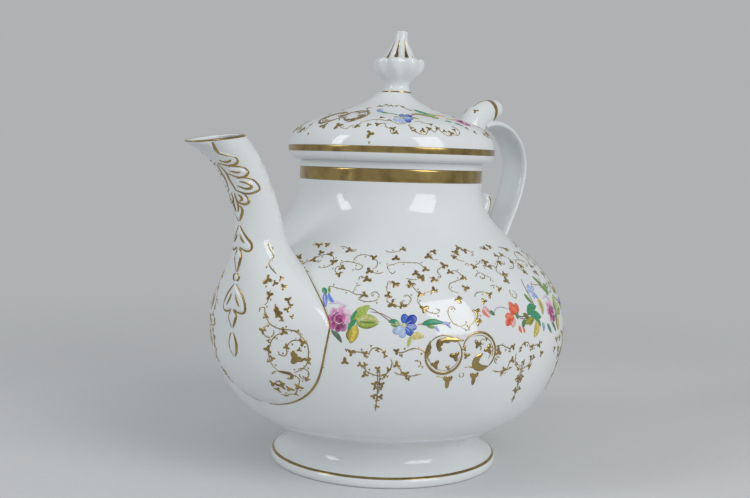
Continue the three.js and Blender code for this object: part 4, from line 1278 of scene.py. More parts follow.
VINE_STEMS = [
    [(36.3, 0.2), (37.4, 0.2), (38.3, 2.2), (40, 2.5), (41.6, 1.2), (42, -0.6)],
    [(32.5, 0.2), (34.4, 0.6), (36.3, 0.2)],
    [(36.7, -3.8), (36.6, -6.6), (38.5, -8.4), (41, -9), (43.2, -6.8), (43.9, -3.4), (43.4, -1.4)],
    [(35, -4.6), (36.6, -6.6), (36.5, -8.7)],
    [(39.9, -6), (40.1, -12), (40, -17), (39.7, -22), (39.5, -26)],
    [(40.6, -6), (40.6, -12), (40.4, -17)],
    [(45, 1.6), (46.3, 0.9), (47.7, 1.6), (49.6, 2.7), (52, 2.1), (53.3, 0), (54.1, -2.6)],
    [(44.6, -7.3), (46.5, -8.3), (49.5, -8.8), (52.2, -7.9)], [(45.2, -4.2), (46.4, -6.2), (46.5, -8.3)],
    [(50, -2.5), (51.2, -2.2), (51.9, -3.7), (51.1, -5)]]
VINE_MIRROR = 126.6
IVY_STEM_WIDTH = 0.38
VINE_STEM_WIDTH = 0.5
BEADS_FROM, BEADS_END_GAP, BEAD_LOOK_AHEAD = 0.6, 0.5, 0.3
BEAD_GAP = 0.15
BEAD_SIDES = 6
SIDE_LEAF_OUT, SIDE_LEAF_SIZE, SIDE_LEAF_TURN = 2.2, 2.6, 2.1


def beads(shells, chart, readings, spacing, size):
    """Dots beside a stem, in turns to its left and right; every third one is a small leaf."""
    anchor = readings[0]
    line = through(chart.flat(anchor, readings), 6)
    along = lengths(line)
    stops = np.arange(spacing * BEADS_FROM, along[-1] - BEADS_END_GAP, spacing)
    spots = read_along(stops, along, line)
    ahead = unit(read_along(stops + BEAD_LOOK_AHEAD, along, line) - spots)
    turns = np.where(np.arange(len(stops)) % 2, 1, -1)[:, None]
    out = np.where(np.arange(len(stops)) % 3 == 1, SIDE_LEAF_OUT, 1.0)[:, None] * (size + BEAD_GAP)
    for k, spot in enumerate(spots + np.column_stack([-ahead[:, 1], ahead[:, 0]]) * turns * out):
        if k % 3 == 1:
            shape = ivy_leaf(size * SIDE_LEAF_SIZE, SIDE_LEAF_TURN * k + spacing, 15)
        else:
            shape = lobed(size, 1, 0.0, BEAD_SIDES)
        patch(shells, chart, anchor, shape, STROKE_HEIGHT, spot, shares=(1,))


def ivy(shells, chart, shift, low, high):
    """One repeat of the shoulder's ivy, moved round by shift and kept between two angles."""
    for across, up in moved_round(IVY_LEAVES, shift):
        if low < across < high:
            size = 1.65 + 0.6 * random_leaves.random()
            leaf_spot(shells, chart, (across, up), size)
            beside = (across + random_leaves.uniform(0.8, 1.3), up + random_leaves.uniform(-1, 1))
            leaf_spot(shells, chart, beside, 0.6)
    for stem in IVY_STEMS:
        moved = moved_round(stem, shift)
        if low < moved[0][0] and moved[-1][0] < high:
            stroke(shells, chart, moved, IVY_STEM_WIDTH)
            beads(shells, chart, moved, 2.3, 0.34)


def vine(shells, chart, shift, low, high):
    """One repeat of the heavier vine: the left half as drawn, and the right half mirrored."""
    for flip in (False, True):
        for across, up, size in VINE_LEAVES:
            place = (VINE_MIRROR - across if flip else across) + shift
            if low < place < high:
                leaf_spot(shells, chart, (place, up), size * 1.3, LEAF_HEIGHT)
        for stem in VINE_STEMS:
            moved = [((VINE_MIRROR - across if flip else across) + shift, up) for across, up in stem]
            if min(a for a, s in moved) > low and max(a for a, s in moved) < high:
                stroke(shells, chart, moved, VINE_STEM_WIDTH)
                beads(shells, chart, moved, 2.6, 0.4)


# %% [markdown]
# ## The linked rings
# Between the mirrored halves of the vine stand two linked rings, drawn with thick and thin lines.
# Acanthus leaves curl inside them, and two larger leaves hang below. The whole is drawn in flat
# millimetres round the middles of the two rings.

# %% Scrollwork
LEFT_RING = (58.4, 0.0, 7.9)
RIGHT_RING = (69.3, 0.7, 8.0)


def arc(centre, radius, start, end, count, shrink=0.0):
    """Readings' flat places on a circle or a spiral from one angle to another, in degrees."""
    angle = np.radians(np.linspace(start, end, count))
    size = radius * (1 - shrink * np.linspace(0, 1, count))
    return np.column_stack([centre[0] + size * np.cos(angle), centre[1] + size * np.sin(angle)])


def scrollwork(shells, chart, shift):
    """Two linked rings with acanthus leaves: thick and thin circles, leaves inside, outside and below."""
    left = (LEFT_RING[0] + shift, LEFT_RING[1])
    right = (RIGHT_RING[0] + shift, RIGHT_RING[1])
    big_left, big_right = LEFT_RING[2], RIGHT_RING[2]
    lines = [
        (left, arc((0, 0), big_left, 150, 400, 24), 0.72, 0.9),
        (left, arc((0.2, 0.3), big_left - 0.2, 35, 140, 12), 0.5, 0),
        (left, arc((0.2, 0.2), big_left - 1.2, 190, 350, 16), 0.3, 0),
        (right, arc((0, 0), big_right, -62, 165, 22), 0.72, 0.6),
        (right, arc((-0.2, -0.2), big_right - 1.0, -20, 110, 14), 0.3, 0),
        (left, [(1.9, -5.2), (2.8, -6.4), (2.0, -7.6)], 0.55, 0),
        (right, [(-0.3, 2.8), (0.9, 1.6), (0.3, 0.6)], 0.55, 0),
        (right, [(-6.4, -6.3), (-4.4, -6.1), (-2.2, -6.9)], 0.55, 0),
        (left, [(-2.8, -8.9), (-0.4, -9.5), (1.6, -9.6)], 0.35, 0),
        (left, arc((8.5, -8.7), 1.3, 140, 440, 10, 0.4), 0.3, 0),
        (left, arc((17.6, 4.6), 1.3, 30, 330, 10, 0.4), 0.3, 0),
    ]
    curls = [
        (left, [(-1.5, 1.6), (-2.4, 3.8), (-0.9, 5.7), (2.2, 6.1), (5.6, 6.0), (8.8, 5.6)],
         2.7, 0.55, 0.3, 4, 0.2),
        (right, [(1.7, -0.8), (-0.8, -2.8), (-1.5, -5.4), (1.2, -7.0), (4.6, -6.5)], 3.7, 0.6, 0.5, 0, 0.2),
        (left, [(-7.4, -1.4), (-6.7, 1.8), (-5.9, 5.8)], 2.4, 0.7, 0.42, 3, 0.18),
        (right, [(-1.6, 12.2), (-0.2, 12.8), (1.4, 13.6)], 1.6, 0.7, 0.5, 3, 0.16),
    ]
    leaves = [
        (left, (-3.6, -4.1), 2.0, 0.9), (left, (5.0, -0.7), 2.3, 2.9), (left, (1.9, -5.2), 1.1, -1.4),
        (left, (8.9, 2.2), 1.3, 1.2), (left, (9.9, -0.6), 1.6, 0.2), (right, (-0.7, 3.1), 1.9, 2.2),
        (right, (4.3, 0.6), 2.2, 1.2), (right, (3.5, 5.0), 0.9, 0.3), (right, (9.6, -0.8), 2.1, 1.6)]
    for anchor, points, width, swell in lines:
        ring_line(shells, chart, anchor, points, width, swell)
    for anchor, points, width, blunt, lean, lobes, height in curls:
        blade(shells, chart, anchor, points, width, blunt, lean, lobes, height)
    for anchor, place, size, turn in leaves:
        leaf = ivy_leaf(1.15 * size, turn, 30, 0.55)
        patch(shells, chart, anchor, leaf, SCROLL_LEAF_HEIGHT, place, shares=SMOOTH_DOME)
    for anchor, place in ((left, (2.4, -10.9)), (right, (-1.5, -10.7))):
        leaf = ivy_leaf(2.8, -pi / 2, 30, 0.58) * [0.95, 1.3]
        patch(shells, chart, anchor, leaf, SCROLL_LEAF_HEIGHT, place, shares=SMOOTH_DOME)


belly_gold, far_gold = [], []
for shells, chart in ((belly_gold, belly_map), (far_gold, belly_map.mirrored())):
    for repeat in (-1, 0, 1):
        ivy(shells, chart, repeat * REPEAT, FIRST_IVY_FROM if repeat < 0 else IVY_FROM, PATTERN_TO)
    for repeat in (0, 1):
        vine(shells, chart, repeat * REPEAT, VINE_FROM, PATTERN_TO)
        scrollwork(shells, chart, repeat * REPEAT)
painted("belly_gilding", belly_gold, "pot", "gilding", gold)
painted("far_belly_gilding", far_gold, "pot", "gilding", gold)

# %% [markdown]
# ## Painted flowers
# Between the ivy and the vine runs a spray of small flowers in enamel colours: a pink rose, a blue bell
# flower, an orange-red one, and buds and leaves. Each petal is a low dome laid over the last one, pale at
# its edge and deep at its heart, the way a painter works with two loads of colour on one brush.

# %% Flower parts
PAINTS = {
    "magenta": (0.55, 0.10, 0.34), "pink": (0.72, 0.33, 0.52), "blush": (0.80, 0.58, 0.70),
    "plum": (0.16, 0.03, 0.11), "wine": (0.34, 0.02, 0.16), "cobalt": (0.02, 0.06, 0.42),
    "blue": (0.07, 0.17, 0.62), "sky": (0.34, 0.46, 0.78), "ice": (0.52, 0.62, 0.80),
    "coral": (0.78, 0.20, 0.11), "vermilion": (0.72, 0.10, 0.03), "lilac": (0.36, 0.33, 0.56),
    "green": (0.06, 0.27, 0.07), "teal": (0.03, 0.32, 0.20), "lime": (0.38, 0.50, 0.10),
    "moss": (0.20, 0.24, 0.03), "sage": (0.12, 0.17, 0.12), "olive": (0.40, 0.34, 0.03),
    "sun": (0.74, 0.58, 0.10), "straw": (0.62, 0.58, 0.28), "bark": (0.10, 0.07, 0.03),
    "russet": (0.30, 0.17, 0.14), "cream": (0.62, 0.64, 0.46)}
ROSE_STROKE_HEIGHT = 0.42
RAY_HEIGHT = 0.33
EYE_HEIGHT = 0.36


def two(edge, heart):
    """The two colours of a shell: at its edge and at its heart."""
    return PAINTS[edge], PAINTS[heart]


def petal(shells, chart, anchor, place, size, turn, colours, squash, height):
    """A round petal: an oval with a shallow notch, its heart drawn towards the flower's middle."""
    about = np.array([[cos(turn), sin(turn)], [-sin(turn), cos(turn)]])
    outline = lobed(size, 2, 0.10, 20, squash) @ about
    heart = np.asarray(place) - 0.35 * size * about[0]
    patch(shells, chart, anchor, outline, height, place, heart, colours, (1, 0.8, 0.45))


def rose(shells, chart, anchor, scale):
    """A full rose: outer petals laid round, a deep cup in front, and short curved strokes in its heart."""
    outer = [
        ((0.7, 3.2), 2.7, 80, "blush", "pink"), ((-2.2, 2.4), 2.5, 130, "blush", "magenta"),
        ((2.8, 1.9), 2.5, 35, "blush", "blush"), ((-3.3, -0.2), 2.4, 180, "pink", "magenta"),
        ((3.3, -0.7), 2.4, -10, "blush", "pink"), ((-2.0, -2.8), 2.5, -130, "pink", "wine"),
        ((1.9, -3.1), 2.5, -60, "pink", "plum"), ((0.1, -3.9), 1.9, -90, "magenta", "plum")]
    inner = [
        ((-0.9, 1.3), 2.5, 120, "blush", "magenta"), ((1.4, 0.8), 2.2, 40, "pink", "magenta"),
        ((-0.6, -0.9), 2.2, -120, "pink", "wine"), ((0.9, -1.1), 1.6, -60, "magenta", "plum")]
    for petals, squash, low, rise in ((outer, 0.85, 0.14, 0.012), (inner, 0.9, 0.27, 0.025)):
        for k, (place, size, turn, edge, heart) in enumerate(petals):
            petal(shells, chart, anchor, np.array(place) * scale, size * scale, radians(turn),
                  two(edge, heart), squash, low + rise * k)
    heart_strokes = [(20, 200, 1.5), (200, 330, 1.9), (100, 230, 2.9), (-60, 60, 2.8)]
    for k, (start, end, radius) in enumerate(heart_strokes):
        line = arc((0.3 * scale, -0.3 * scale), radius * scale, start, end, 7)
        half = 0.24 * scale * np.sin(np.linspace(0.2, pi - 0.2, 7))
        tone = "blush" if k % 2 else "plum"
        strip(shells, chart, anchor, line, half, FLAT_SECTION, ROSE_STROKE_HEIGHT, two(tone, tone))


def bell_flower(shells, chart, anchor, scale=1.0):
    """Round petals in a ring, dark at the top and pale at the foot, with a yellow eye and white rays."""
    petals = [
        (218, 3.1, 2.5, "sky", "ice"), (262, 3.1, 2.4, "sky", "ice"), (165, 2.6, 1.5, "ice", "lime"),
        (312, 3.4, 2.2, "cobalt", "blue"), (350, 3.4, 2.1, "cobalt", "sky"), (84, 3.0, 2.1, "cobalt", "blue"),
        (38, 3.8, 2.8, "cobalt", "cobalt")]
    for k, (turn, reach, size, edge, heart) in enumerate(petals):
        place = reach * scale * np.array([cos(radians(turn)), 0.95 * sin(radians(turn))])
        petal(shells, chart, anchor, place, size * scale, radians(turn), two(edge, heart), 0.82,
              0.16 + 0.02 * k)
    for turn in range(-75, 60, 27):
        line = arc((0, 0), 1, turn, turn, 2) * np.array([[0.8], [3.6]]) * scale
        ray = through(line, 3)
        strip(shells, chart, anchor, ray, 0.17 * scale, FLAT_SECTION, RAY_HEIGHT, two("ice", "sky"))
    patch(shells, chart, anchor, lobed(1.2 * scale, 5, 0.2, 15), EYE_HEIGHT, colours=two("cream", "straw"))


def spray(shells, chart, shift, items, end=360.0):
    """Leaves, buds and stems from readings: a width over zero makes a blade and a negative one a stem."""
    for k, (readings, width, edge, heart) in enumerate(items):
        moved = moved_round(readings, shift)
        if max(across for across, up in moved) > end:
            continue
        if width < 0:
            stroke(shells, chart, moved, -width, height=SPRAY_HEIGHT, colours=two(edge, heart))
        else:
            flat = chart.flat(moved[0], moved)
            blade(shells, chart, moved[0], flat, width, 0.62, 0.45, 0, SPRAY_HEIGHT + 0.008 * (k % 6),
                  two(edge, heart))

# %% [markdown]
# ## Where the flowers lie
# Each entry of a list is one leaf, petal or stem: its readings, its width, and its colours at the edge
# and at the heart. A width below zero makes a thin stem. The band repeats every 77 degrees, and it is
# mirrored on the far side of the pot.

# %% Flower bands
SPRAY_HEIGHT = 0.16
FIRE_WIDENING = 1.2
ROSE_AT, BELL_AT = (28.4, 13.7), (46.9, 12.0)
ROSE_SPRAY = [
    ([(26.6, 8.6), (28.4, 6.6), (29.8, 4.0)], 2.2, "sage", "sage"),
    ([(33.4, 17.4), (32.4, 13), (31.4, 8.6)], 3.2, "teal", "green"),
    ([(32.6, 13.6), (34.4, 16.6), (36.9, 19.8)], 4.6, "lime", "lime"),
    ([(33.6, 12.6), (36.6, 14.6), (39.9, 13.2)], 3.4, "lime", "straw"),
    ([(33.6, 12.0), (36.6, 11.4), (39.7, 12.4)], 2.8, "moss", "lime"),
    ([(33.4, 11.4), (33.0, 8), (32.2, 4.0)], 4.4, "olive", "sun"),
    ([(32.0, 10.0), (31.4, 7.4), (31.8, 5.0)], 1.9, "bark", "olive"),
    ([(33.2, 13.2), (35, 12.9), (38.6, 12.8)], -0.35, "green", "green"),
    ([(33, 13.6), (34.8, 16.8), (36.6, 19.2)], -0.3, "moss", "moss"),
    ([(33.2, 11), (32.8, 8), (32.3, 5)], -0.3, "bark", "bark"),
    ([(36.6, 18.8), (38.4, 18.0), (40.6, 16.0), (43.4, 13.2), (44.8, 12.6)], -0.36, "russet", "russet"),
    ([(37.4, 17.2), (40.4, 16.6), (42.2, 15.4), (44.4, 13.8)], -0.3, "russet", "russet"),
    ([(42.6, 13.4), (44.2, 13.5), (46.0, 12.4)], 2.2, "green", "teal"),
    ([(43.2, 12.4), (44.6, 11.6), (46, 12)], 1.3, "lime", "green"),
    ([(48.9, 6.9), (50.6, 7.9), (52.6, 7.5)], 3.2, "sun", "straw"),
    ([(48.7, 7.4), (48.5, 5.6), (48.1, 3.4)], 1.8, "straw", "lime"),
    ([(50.9, 12.4), (52.0, 12.7), (53.0, 12.6)], -0.5, "pink", "magenta"),
    ([(52.0, 12.5), (55.0, 13.5), (58.4, 13.1)], 2.7, "green", "teal"),
    ([(53.4, 12.0), (54.9, 11.4), (56.4, 11.6)], 1.5, "lime", "green"),
    ([(57.4, 13.0), (59.2, 12.8), (60.6, 10.8)], 1.5, "lilac", "sky"),
    ([(55.4, 11.9), (56.3, 10.8), (57.1, 9.4)], 1.3, "sky", "lilac"),
    ([(24.8, 19.6), (27.4, 20.4), (30.4, 19.0)], 1.2, "ice", "blush")]
BUD_SPRAY = [
    ([(21.6, 26.6), (22.4, 25.2), (23.2, 23.8)], 2.2, "green", "teal"),
    ([(23.4, 27.4), (23.8, 25.8), (24.2, 24.2)], 1.3, "lime", "green"),
    ([(22.6, 24.2), (23.2, 21.4), (23.9, 18.2)], 2.2, "cobalt", "sky"),
    ([(23.8, 24.2), (24.8, 21.8), (26.6, 19.8)], 1.9, "sky", "blue")]
FIRE_SPRAY = [
    ([(72.4, 19.6), (72.8, 17.2), (73.5, 14.6)], 2.6, "coral", "blush"),
    ([(71.4, 18), (72.2, 16.4), (73.3, 15)], 1.6, "coral", "coral"),
    ([(73.8, 17.2), (74.6, 16.6), (75.6, 15.4)], 1.7, "green", "sage"),
    ([(75.4, 16.2), (76.6, 18.2), (78.8, 18.6), (81, 17.6)], -0.35, "lilac", "lilac"),
    ([(82.6, 20.6), (83.4, 17.8), (84, 15)], 3.2, "vermilion", "coral"),
    ([(85.2, 19.8), (85.2, 17.4), (84.6, 15)], 2.6, "coral", "vermilion"),
    ([(81.8, 18), (82.8, 16.4), (84, 14.8)], 2.4, "vermilion", "vermilion"),
    ([(79.4, 14.4), (81, 14.6), (83, 14)], 2.4, "coral", "coral"),
    ([(79.4, 10.6), (80.6, 12.2), (83, 13.6)], 3.2, "coral", "vermilion"),
    ([(81.8, 9.6), (82.4, 11.4), (83.4, 13)], 2.2, "coral", "blush"),
    ([(84, 16), (84.5, 14.4), (84.4, 12.8)], 1.9, "green", "green"),
    ([(84.6, 14.2), (87, 13.6), (89.4, 13.9)], -0.5, "bark", "bark"),
    ([(84.8, 13.5), (87.2, 12.6), (89.4, 12.8)], -0.4, "bark", "bark"),
    ([(87.4, 14.8), (88.8, 13.6), (90, 11.6)], 2.0, "bark", "moss"),
    ([(88, 10.2), (89.6, 11.8), (91.6, 12.2)], 2.6, "moss", "olive"),
    ([(89.4, 9.6), (90.6, 11), (92.4, 12)], 2.2, "olive", "moss"),
    ([(89.6, 14.2), (92, 16.6), (95.2, 17.2)], 3.8, "teal", "green"),
    ([(91, 13), (93.4, 13.6), (96.6, 12)], 3.4, "green", "teal"),
    ([(92.6, 12.6), (94.6, 10.8), (95.4, 8.2)], 2.2, "teal", "green"),
    ([(88, 12), (86.8, 10.6), (86, 8.8)], 2.2, "green", "sage"),
    ([(84.6, 10), (84.8, 8.6), (85.4, 6.8)], 1.4, "vermilion", "coral"),
    ([(86.4, 9), (86.6, 7.8), (86.8, 6.6)], 1.1, "coral", "vermilion"),
    ([(93.8, 10.8), (93.2, 7.6), (91.4, 4.2)], 3.6, "olive", "sun"),
    ([(94.4, 30.7), (93.8, 28), (93.6, 25), (93.8, 22.6), (94.2, 20),
     (94.2, 17.4)], -0.34, "sage", "sage"),
    ([(91.4, 23.4), (92.4, 21), (93.8, 18.8)], 1.8, "green", "moss"),
    ([(94.8, 26.6), (95.4, 25.6), (96.2, 24.4)], 1.7, "sky", "ice"),
    ([(96.4, 27.6), (96.4, 26), (96.2, 24.4)], 1.7, "blue", "ice"),
    ([(99.5, 26), (97.8, 25.2), (96.3, 24.4)], 2.0, "sky", "ice"),
    ([(98.5, 20.5), (97.4, 22.2), (96.3, 24)], 1.8, "blue", "sky"),
    ([(96, 20.4), (96.2, 22.2), (96.2, 24.2)], 1.7, "sky", "ice"),
    ([(93.6, 24.6), (94.8, 24.2), (96.1, 24.2)], 1.7, "ice", "sky"),
    ([(98, 20.2), (98.8, 17), (98.2, 13)], 3.4, "straw", "olive"),
    ([(103.6, 31), (105.6, 27), (106.4, 22.6)], 2.4, "green", "moss"),
    ([(109.6, 26.4), (108.6, 23.6), (106.6, 20.8)], 4.2, "lime", "green"),
    ([(110, 26), (109.8, 24.8), (109.4, 23.6)], 1.2, "russet", "bark"),
    ([(96.8, 9.6), (97.4, 7.8), (97, 5.8)], 1.8, "teal", "sky"),
    ([(100, 8.6), (101.4, 6.2), (102.6, 4.2)], 2.0, "sage", "teal")]
FLOWER_REPEAT = 77.0
FLOWERS_END = 168.0


def bouquet(shells, chart, shift, with_bud):
    """One repeat of the flower band."""
    fire = [(line, width * (FIRE_WIDENING if width > 0 else 1), *tones) for line, width, *tones in FIRE_SPRAY]
    spray(shells, chart, shift, ROSE_SPRAY + (BUD_SPRAY if with_bud else []), FLOWERS_END)
    spray(shells, chart, shift, fire, FLOWERS_END)
    rose(shells, chart, (ROSE_AT[0] + shift, ROSE_AT[1]), 0.98)
    bell_flower(shells, chart, (BELL_AT[0] + shift, BELL_AT[1]))


near_flowers, far_flowers = [], []
for shells, chart in ((near_flowers, belly_map), (far_flowers, belly_map.mirrored())):
    bouquet(shells, chart, 0.0, True)
    bouquet(shells, chart, FLOWER_REPEAT, False)
painted("belly_flowers", near_flowers, "pot", "enamels", enamel)
painted("far_belly_flowers", far_flowers, "pot", "enamels", enamel)

# %% [markdown]
# ## Gilding on the spout
# Gold outlines follow the raised leaves, thick at the tips of the lobes and thin where they run in. A
# gold line hides the joint with the belly, and ivy scrolls lie on each flank. Everything is drawn for one
# side on the spout's own map, as (distance from the ridge, distance from the lip), and mirrored.

# %% Spout gilding
LEAF_LINES = [
    [(9, 2.5), (6.5, 7), (5.5, 10.5), (7, 12), (9, 13)],
    [(9, 13), (10.2, 14.2), (9.8, 16), (8, 18), (6, 18.8), (3.5, 18.3), (0.6, 17.2)],
    [(2.5, 15.5), (4.5, 16.5), (6.5, 16), (7.6, 15)],
    [(4, 19.5), (7, 19.4), (10, 19.6), (11, 21.5), (9.5, 23.5), (7, 24.8), (4.5, 24.4), (2, 23)],
    [(3.6, 21.6), (6, 22.3), (7.8, 22)],
    [(4.6, 25.6), (8, 25), (11, 25.6), (12.5, 27.8), (12.3, 30), (9.5, 31.8), (6.5, 32.6), (4, 32),
     (1.5, 30.8)],
    [(5, 27), (7.5, 27.4), (9.2, 28.6), (8.5, 29.8), (6.5, 30.2), (3.5, 29)],
    [(5, 32.8), (6.1, 34.6), (6.1, 36.3), (4.5, 37.4), (2.5, 37), (0.7, 35.5)],
    [(2.5, 33), (3.6, 34.4), (3.6, 35.4), (2.4, 36)], [(1.8, 37.8), (2.6, 40), (1.8, 42.6), (0.3, 45)],
    [(0.5, 18), (1.4, 22.5), (1.2, 26.5), (2.2, 31)], [(1.0, 32.4), (0.9, 35), (1.2, 38), (0.6, 41)],
    [(0.3, 46.6), (2.4, 49.8), (4.2, 52), (6, 54), (6.3, 56), (5, 57.2), (2.6, 56.8), (0.8, 55.6)],
    [(0.8, 50.4), (1.8, 52.4), (3.2, 54)],
    [(0.5, 56), (1.7, 58.5), (1.8, 60.6), (1.1, 63.4), (0.3, 66.4)],
    [(0.4, 66.9), (1.7, 67.6), (1.6, 69.2), (0.4, 69.9)],
    [(0.6, 71.2), (3.4, 74), (5, 76), (6.6, 79), (7, 81.8), (5.6, 83), (3, 82.8), (1, 81.6)],
    [(1.2, 75.2), (2.2, 77.6), (4, 80.4)], [(0.6, 82), (2.1, 83.6), (2.2, 85.6), (1.2, 88), (0.4, 89.6)],
    [(0.5, 91.4), (1.6, 93.4), (2.4, 96.4), (1.8, 99.6), (0.4, 102)]]
FLANK_STEMS = [
    [(13, 53), (13.5, 55.5), (15, 57.5), (16, 59), (15, 60.5), (14.5, 62), (16, 64), (18.5, 66)],
    [(15, 66.5), (15.6, 68), (15.5, 69.5), (14, 70), (13.5, 69)],
    [(17.5, 72.4), (17, 74.5), (17, 77), (16, 78.6)],
    [(14, 81.5), (14, 80), (15, 79.5), (16.2, 79.8), (16.5, 81.5), (17, 83), (18, 84.5), (19.2, 86),
     (21, 87), (23.5, 87.7), (28, 88), (31, 88.5), (33, 90)],
    [(19.5, 86), (17.5, 87), (16, 88.6), (16.4, 90.2), (18, 91.5), (19.8, 91.2), (21, 89.8),
     (20.8, 88.4)],
    [(25, 89.4), (22.4, 90.2), (20.5, 92), (19.2, 94.6), (18.2, 98), (18.2, 101), (19.2, 103.8),
     (21, 106)],
    [(27, 88), (30, 88.5), (32.5, 90.5), (34.2, 92.4), (35.1, 95), (35, 98), (34.4, 100.8),
     (33.2, 102.8), (31.4, 104.5), (29.5, 105.5), (27.5, 106.5)],
    [(22.5, 97), (23.1, 98.6), (25, 99), (26.2, 97.6), (26.2, 95.4), (28, 92.8), (30.5, 92),
     (32.6, 92.6)],
    [(29.4, 104.8), (31.2, 104.2), (33, 104.8), (33.6, 106.6), (32.4, 108.6), (30.6, 109.4),
     (29.4, 108.2), (29.8, 106.8)],
    [(26.4, 107.6), (28, 108.2), (28.6, 109.8), (27.8, 112), (26.5, 114)],
    [(16.5, 119.5), (18.5, 120), (21, 118.8), (23.5, 118.4), (25, 116.4), (26.5, 114)],
    [(17.5, 108), (18.6, 106.8), (20, 106.5)], [(20, 111), (18, 112), (16.2, 113.2)]]
FLANK_LEAVES = [
    (15.5, 68.2, 2.2), (18.6, 69.6, 1.5), (20.8, 67.6, 1.3), (22.6, 71, 1.6), (17.3, 74.3, 2.0),
    (25.6, 76, 1.7), (27, 78.2, 1.2), (22.2, 81.6, 2.2), (25.8, 79.8, 1.5), (17, 83, 1.6), (24, 84, 1.3),
    (28, 82.6, 1.1), (16, 89, 1.7), (25.2, 89, 2.0), (18.5, 93, 1.1), (17.9, 96.5, 2.1),
    (19.5, 100.5, 1.6), (17.5, 101.8, 1.0), (26, 95, 1.6), (33, 93, 2.0), (31.5, 96, 1.2),
    (34.5, 100.5, 1.9), (32, 109.4, 1.5), (26.5, 114, 2.2), (19.4, 114, 2.4), (22.2, 115.4, 2.1),
    (16, 113, 2.0), (16.5, 116.4, 1.9), (18.5, 120, 1.2), (23.5, 118.6, 1.2), (20.4, 112.4, 1.6)]
JOINT_SHOWS = 0.12
JOINT_LINE_FROM = 65.0
LINE_BESIDE = 0.5
over_belly = np.hypot(map_table[..., 0], map_table[..., 1]) - np.interp(
    map_table[..., 2], belly_profile[:, 1], belly_profile[:, 0])
first = np.argmax(over_belly < JOINT_SHOWS, axis=1)
rows = np.flatnonzero((first > 0) & (map_from_lip > JOINT_LINE_FROM))
step_in = over_belly[rows, first[rows] - 1]
part_step = (step_in - JOINT_SHOWS) / (step_in - over_belly[rows, first[rows]])
joint = (first[rows] - 1 + part_step) * MAP_STEP
joint_line = np.column_stack([np.maximum(joint - LINE_BESIDE, 0), map_from_lip[rows]])[::-1]
joint_along = lengths(joint_line)
root_stops = np.linspace(0, joint_along[-1], 48)
root_line = read_along(root_stops, joint_along, joint_line)
print("the joint starts", np.round(root_line[0], 1), "and ends", np.round(root_line[-1], 1))

spout_gold = []
for chart in (spout_map, spout_map.mirrored()):
    for line in LEAF_LINES:
        stroke(spout_gold, chart, line, 0.8, 0.3, 6, RING_HEIGHT, swell=0.55)
    for stem in FLANK_STEMS:
        stroke(spout_gold, chart, stem, VINE_STEM_WIDTH, 0.4, 6)
        beads(spout_gold, chart, stem, 2.4, 0.4)
    for across, up, size in FLANK_LEAVES:
        leaf_spot(spout_gold, chart, (across, up), size, LEAF_HEIGHT)
    big_leaf = ivy_leaf(3.6, 1.9, 30, 0.52)
    patch(spout_gold, chart, (29.6, 100.0), big_leaf, SCROLL_LEAF_HEIGHT, shares=SMOOTH_DOME)
    curl = [(0, 0), (3.0, -0.5), (5.4, -1.2), (5.0, -3.0), (3.0, -3.4)]
    blade(spout_gold, chart, (20.6, 106.2), curl, 1.7, 0.6, 0.5, 0, 0.18)
    blade(spout_gold, chart, (20.4, 77.8), [(0, 0), (1.2, -3.0), (3.4, -5.6)], 2.6, 0.7, 0.55, 3, 0.18)
    stroke(spout_gold, chart, root_line, 1.0, 0.8, 3, RING_HEIGHT)
painted("spout_gilding", spout_gold, "pot", "gilding", gold)

rim_turn = np.linspace(-0.9, 1.25, 9)
rim_place = np.minimum(LIP_PLACE + LIP_ROUND_SHARE * np.sin(rim_turn), SPOUT_END)


def lip_shell(lift):
    """The lip's own rings, moved out by the lift: across the lip by 1 - cos, and up by the sine."""
    inset = SPOUT_WALL / 2 - (SPOUT_WALL / 2 + lift) * np.cos(rim_turn)
    upwards = np.stack([0 * rim_turn, 0 * rim_turn, lift * np.sin(rim_turn)], axis=-1)
    return spout_rings(rim_place, spout_angle, inset) + upwards[:, None]


lip_gold = loft("lip_gilding", np.vstack([lip_shell(0.09), lip_shell(-0.05)[::-1]]), joined=True)
seat_piece(lip_gold, "pot", "gilding", gold)

# %% [markdown]
# ## Ornament of the lid
# The lid carries the same linked rings, a row of ivy leaves and a spray of flowers. They are drawn once
# and set down twice round the lid, and between them the row of leaves runs on alone.

# %% Lid ornament
LID_REPEAT = 180.0
FILL_FROM, FILL_TO = 53.5, 79.0
FILL_TURNS = (54.0, 83.0)
LID_RING_R = 6.1
LID_LEAVES = [
    (-19, 9.2, 1.2), (-15.5, 12, 1.1), (-1.2, 11.0, 2.4), (9.6, 11.4, 2.5), (22, 11, 1.5),
    (28.4, 12.2, 1.4), (33.6, 12.6, 1.6), (30.3, 6.6, 2.1), (34.6, 20, 1.5), (40, 17, 1.3),
    (42.6, 9.8, 1.6), (44.2, 7.6, 1.3), (52.6, 10.6, 1.2), (54.2, 9.0, 1.3), (58.8, 9.0, 1.6),
    (63, 10.6, 1.5), (65.5, 14, 1.3), (68.4, 11.4, 1.4), (72, 9.4, 1.2), (76, 8.2, 1.7),
    (79.4, 10.4, 1.3), (24, 38, 1.3), (32, 40, 1.0), (39, 39, 1.2), (46, 38.6, 1.0), (55, 37.6, 1.2),
    (62, 33, 1.0), (12, 34.6, 1.3), (16, 31, 1.4), (60, 27, 1.1), (30.4, 2.6, 0.6), (31.6, 0.9, 0.5),
    (-10, 6.0, 0.8), (92, 12.4, 1.2), (97, 9.6, 1.3)]
